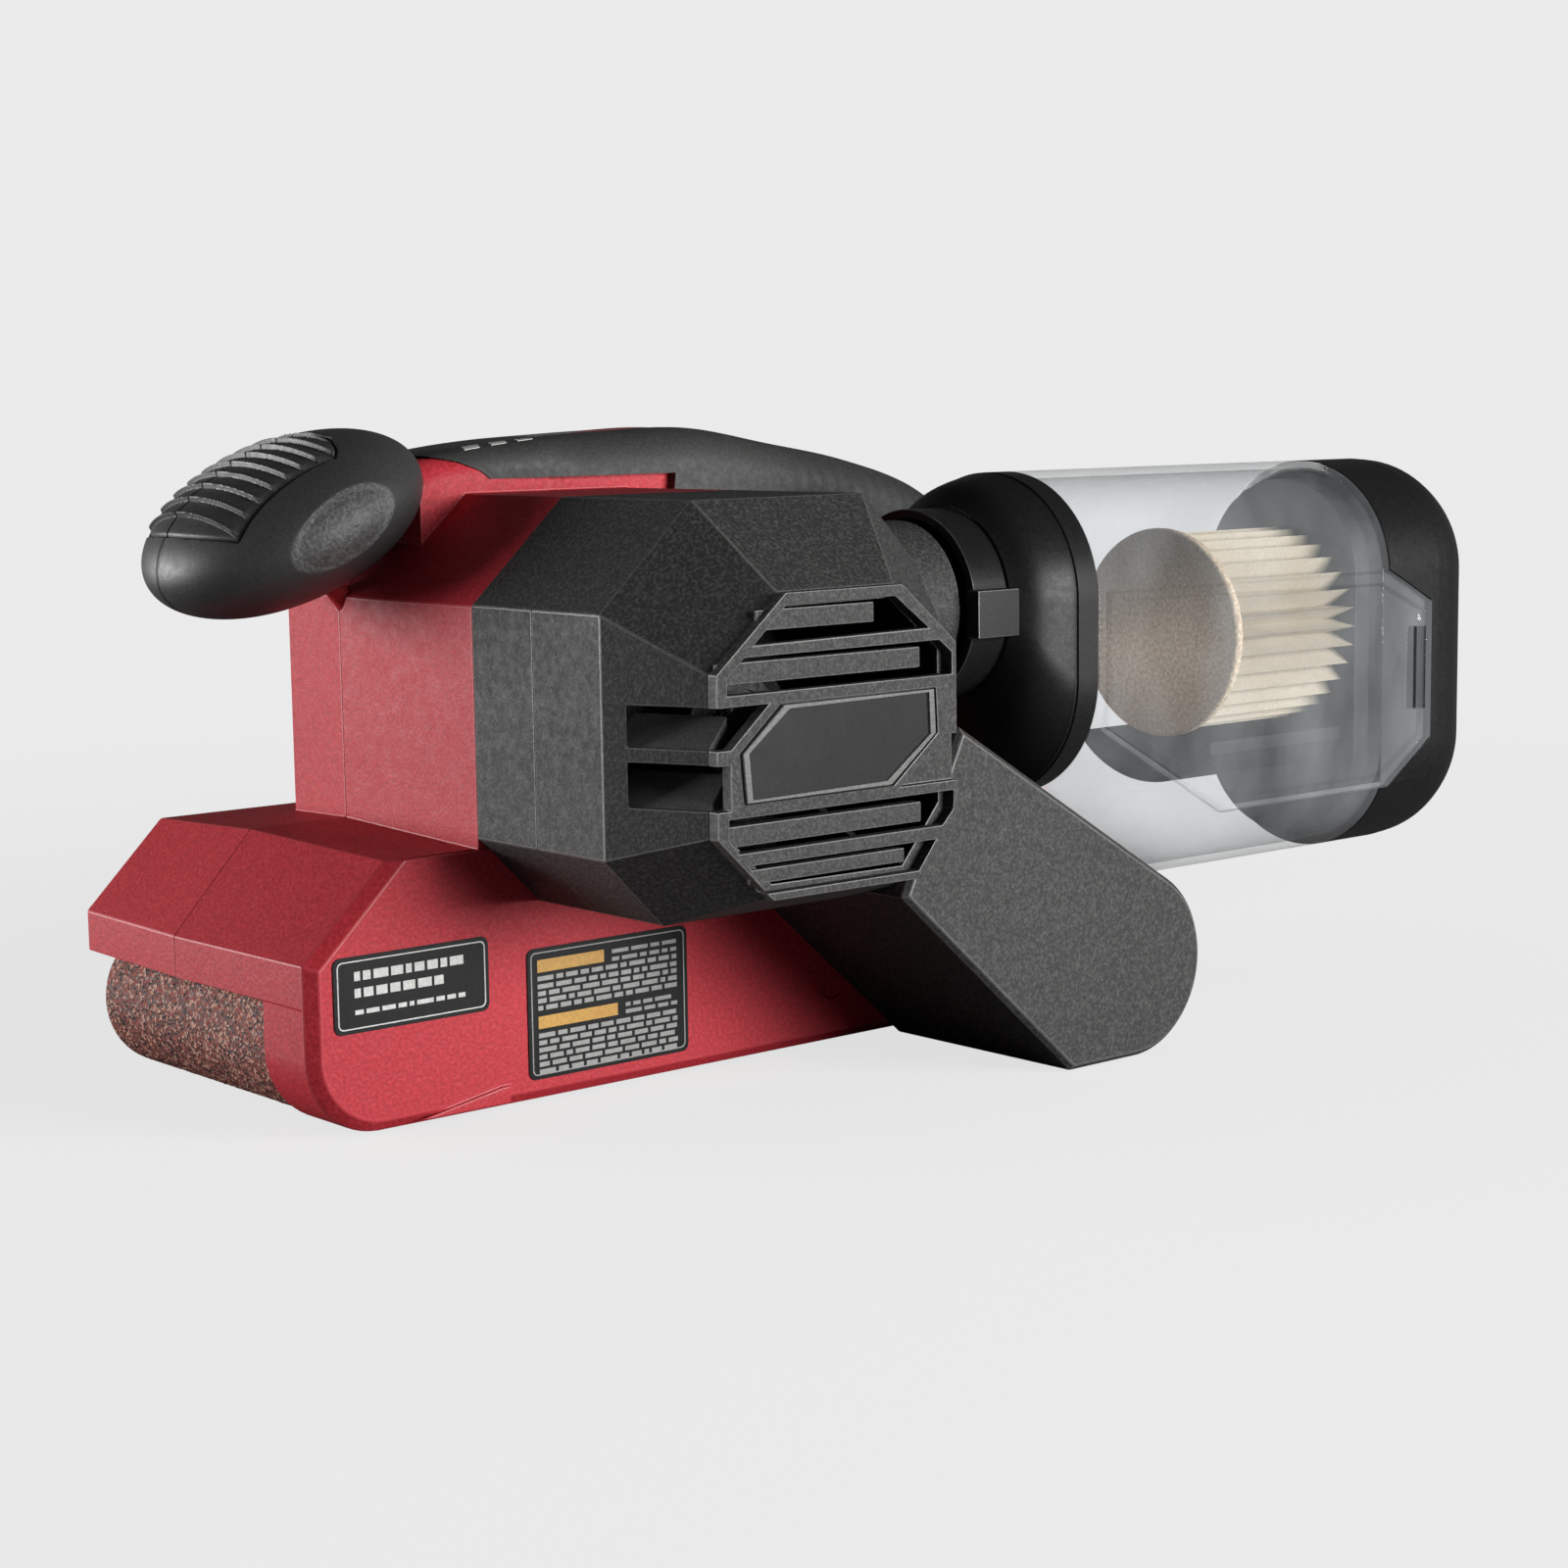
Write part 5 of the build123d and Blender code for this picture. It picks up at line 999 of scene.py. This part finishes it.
make_belt()
make_ticks(make_grip())
make_knob()
make_pad()
make_canister()
make_adapter()
make_end_cap()
make_label("label_front", dashes([(0.68, 0.80, 0.13, 0.88), (0.46, 0.58, 0.13, 0.70),
                                  (0.24, 0.30, 0.13, 0.84)], 3), [], WALL_Y, INK)
SMALL = [(z, z + 0.035, 0.06, 0.93) for z in (0.69, 0.635, 0.58, 0.525, 0.26, 0.205, 0.15, 0.095, 0.04)]
SMALL += [(0.87, 0.90, 0.52, 0.93), (0.81, 0.84, 0.52, 0.93), (0.75, 0.785, 0.06, 0.93),
          (0.44, 0.47, 0.60, 0.93),
          (0.385, 0.415, 0.60, 0.93), (0.315, 0.35, 0.06, 0.93)]
make_label("label_rear", dashes(SMALL, 5), [(0.06, 0.815, 0.47, 0.91), (0.06, 0.385, 0.55, 0.48)], WALL_Y,
           INK_DIM)
make_badge()
make_vent_wedges()
finish_node("indicator_panel", INLAY, None, 0.15)
finish_node("filter_disc", FOAM, None, 0.0)
finish_node("pleated_filter", PAPER, None, 0.0)
finish_node("filter_frame", BLACK, None, 0.3)


# --- room, lights and camera -------------------------------------------------------------------
def make_floor():
    """Pale round floor that fades out with distance."""
    mesh = bpy.data.meshes.new("floor")
    bm = bmesh.new()
    bmesh.ops.create_circle(bm, cap_ends=True, radius=2.2, segments=96)
    bm.to_mesh(mesh)
    bm.free()
    floor = bpy.data.objects.new("floor", mesh)
    floor.location = (0.05, 0.0, -0.0004)
    bpy.context.scene.collection.objects.link(floor)
    material, tree, place = start("floor_paper")
    fleck = noise(tree, place, 900.0, 2.0, 0.5)
    tone = mixed(tree, ranged(tree, fleck, 0.3, 0.7, 0.0, 1.0), (0.20, 0.20, 0.20), (0.225, 0.225, 0.225))
    paper = add(tree, "ShaderNodeBsdfDiffuse")
    tree.links.new(tone, paper.inputs["Color"])
    path = add(tree, "ShaderNodeLightPath")
    glow = add(tree, "ShaderNodeEmission", {"Color": (BACKDROP, BACKDROP, BACKDROP, 1.0)})
    tree.links.new(ranged(tree, path.outputs["Is Camera Ray"], 0.0, 1.0, 0.0, 0.875), glow.inputs["Strength"])
    lit = add(tree, "ShaderNodeAddShader")
    tree.links.new(paper.outputs[0], lit.inputs[0])
    tree.links.new(glow.outputs[0], lit.inputs[1])
    reach = add(tree, "ShaderNodeVectorMath", operation="LENGTH")
    tree.links.new(place, reach.inputs[0])
    fade = ranged(tree, reach.outputs["Value"], 0.22, 0.75, 0.0, 1.0)
    clear = add(tree, "ShaderNodeBsdfTransparent")
    mix = add(tree, "ShaderNodeMixShader")
    tree.links.new(fade, mix.inputs[0])
    tree.links.new(lit.outputs[0], mix.inputs[1])
    tree.links.new(clear.outputs[0], mix.inputs[2])
    close(tree, mix.outputs[0])
    mesh.materials.append(material)


def make_world():
    """Pale to the eye, dimmer as a light."""
    world = bpy.data.worlds.new("studio")
    world.use_nodes = True
    tree = world.node_tree
    tree.nodes.clear()
    path = add(tree, "ShaderNodeLightPath")
    lit = add(tree, "ShaderNodeBackground", {"Color": (1, 1, 1, 1)})
    height = add(tree, "ShaderNodeSeparateXYZ")
    tree.links.new(add(tree, "ShaderNodeTexCoord").outputs["Generated"], height.inputs[0])
    tree.links.new(ranged(tree, height.outputs["Z"], 0.0, 0.6, 0.15, 0.045), lit.inputs["Strength"])
    seen = add(tree, "ShaderNodeBackground", {"Color": (BACKDROP, BACKDROP, BACKDROP, 1.0), "Strength": 1.0})
    mix = add(tree, "ShaderNodeMixShader")
    tree.links.new(path.outputs["Is Camera Ray"], mix.inputs[0])
    tree.links.new(lit.outputs[0], mix.inputs[1])
    tree.links.new(seen.outputs[0], mix.inputs[2])
    tree.links.new(mix.outputs[0], add(tree, "ShaderNodeOutputWorld").inputs["Surface"])
    bpy.context.scene.world = world


def softbox(name, place, aim, size, power):
    light = bpy.data.lights.new(name, "AREA")
    light.shape = "RECTANGLE"
    light.size, light.size_y = size
    light.energy = power
    lamp = bpy.data.objects.new(name, light)
    lamp.location = place
    lamp.rotation_mode = "QUATERNION"
    lamp.rotation_quaternion = (Vector(aim) - Vector(place)).to_track_quat("-Z", "Y")
    bpy.context.scene.collection.objects.link(lamp)


def make_camera():
    azimuth, pitch, roll = (radians(angle) for angle in CAMERA_TURN)
    forward = Vector((sin(azimuth) * cos(pitch), cos(azimuth) * cos(pitch), -sin(pitch)))
    right0 = Vector((cos(azimuth), -sin(azimuth), 0.0))
    up0 = Vector((sin(azimuth) * sin(pitch), cos(azimuth) * sin(pitch), cos(pitch)))
    right = right0 * cos(roll) - up0 * sin(roll)
    up = up0 * cos(roll) + right0 * sin(roll)
    data = bpy.data.cameras.new("camera")
    data.lens, data.sensor_width = LENS, SENSOR
    data.clip_start, data.clip_end = 0.01, 20.0
    camera = bpy.data.objects.new("camera", data)
    turn = Matrix((right, up, -forward)).transposed()
    camera.matrix_world = Matrix.Translation(CAMERA_AT) @ turn.to_4x4()
    bpy.context.scene.collection.objects.link(camera)
    bpy.context.scene.camera = camera


make_floor()
make_world()
softbox("right_front", (0.72, -1.58, 0.30), CENTRE, (0.95, 0.7), 43)
softbox("left_rear", (-1.25, 1.12, 0.20), CENTRE, (1.2, 0.6), 32)
make_camera()
bpy.context.scene.view_settings.view_transform = "Standard"
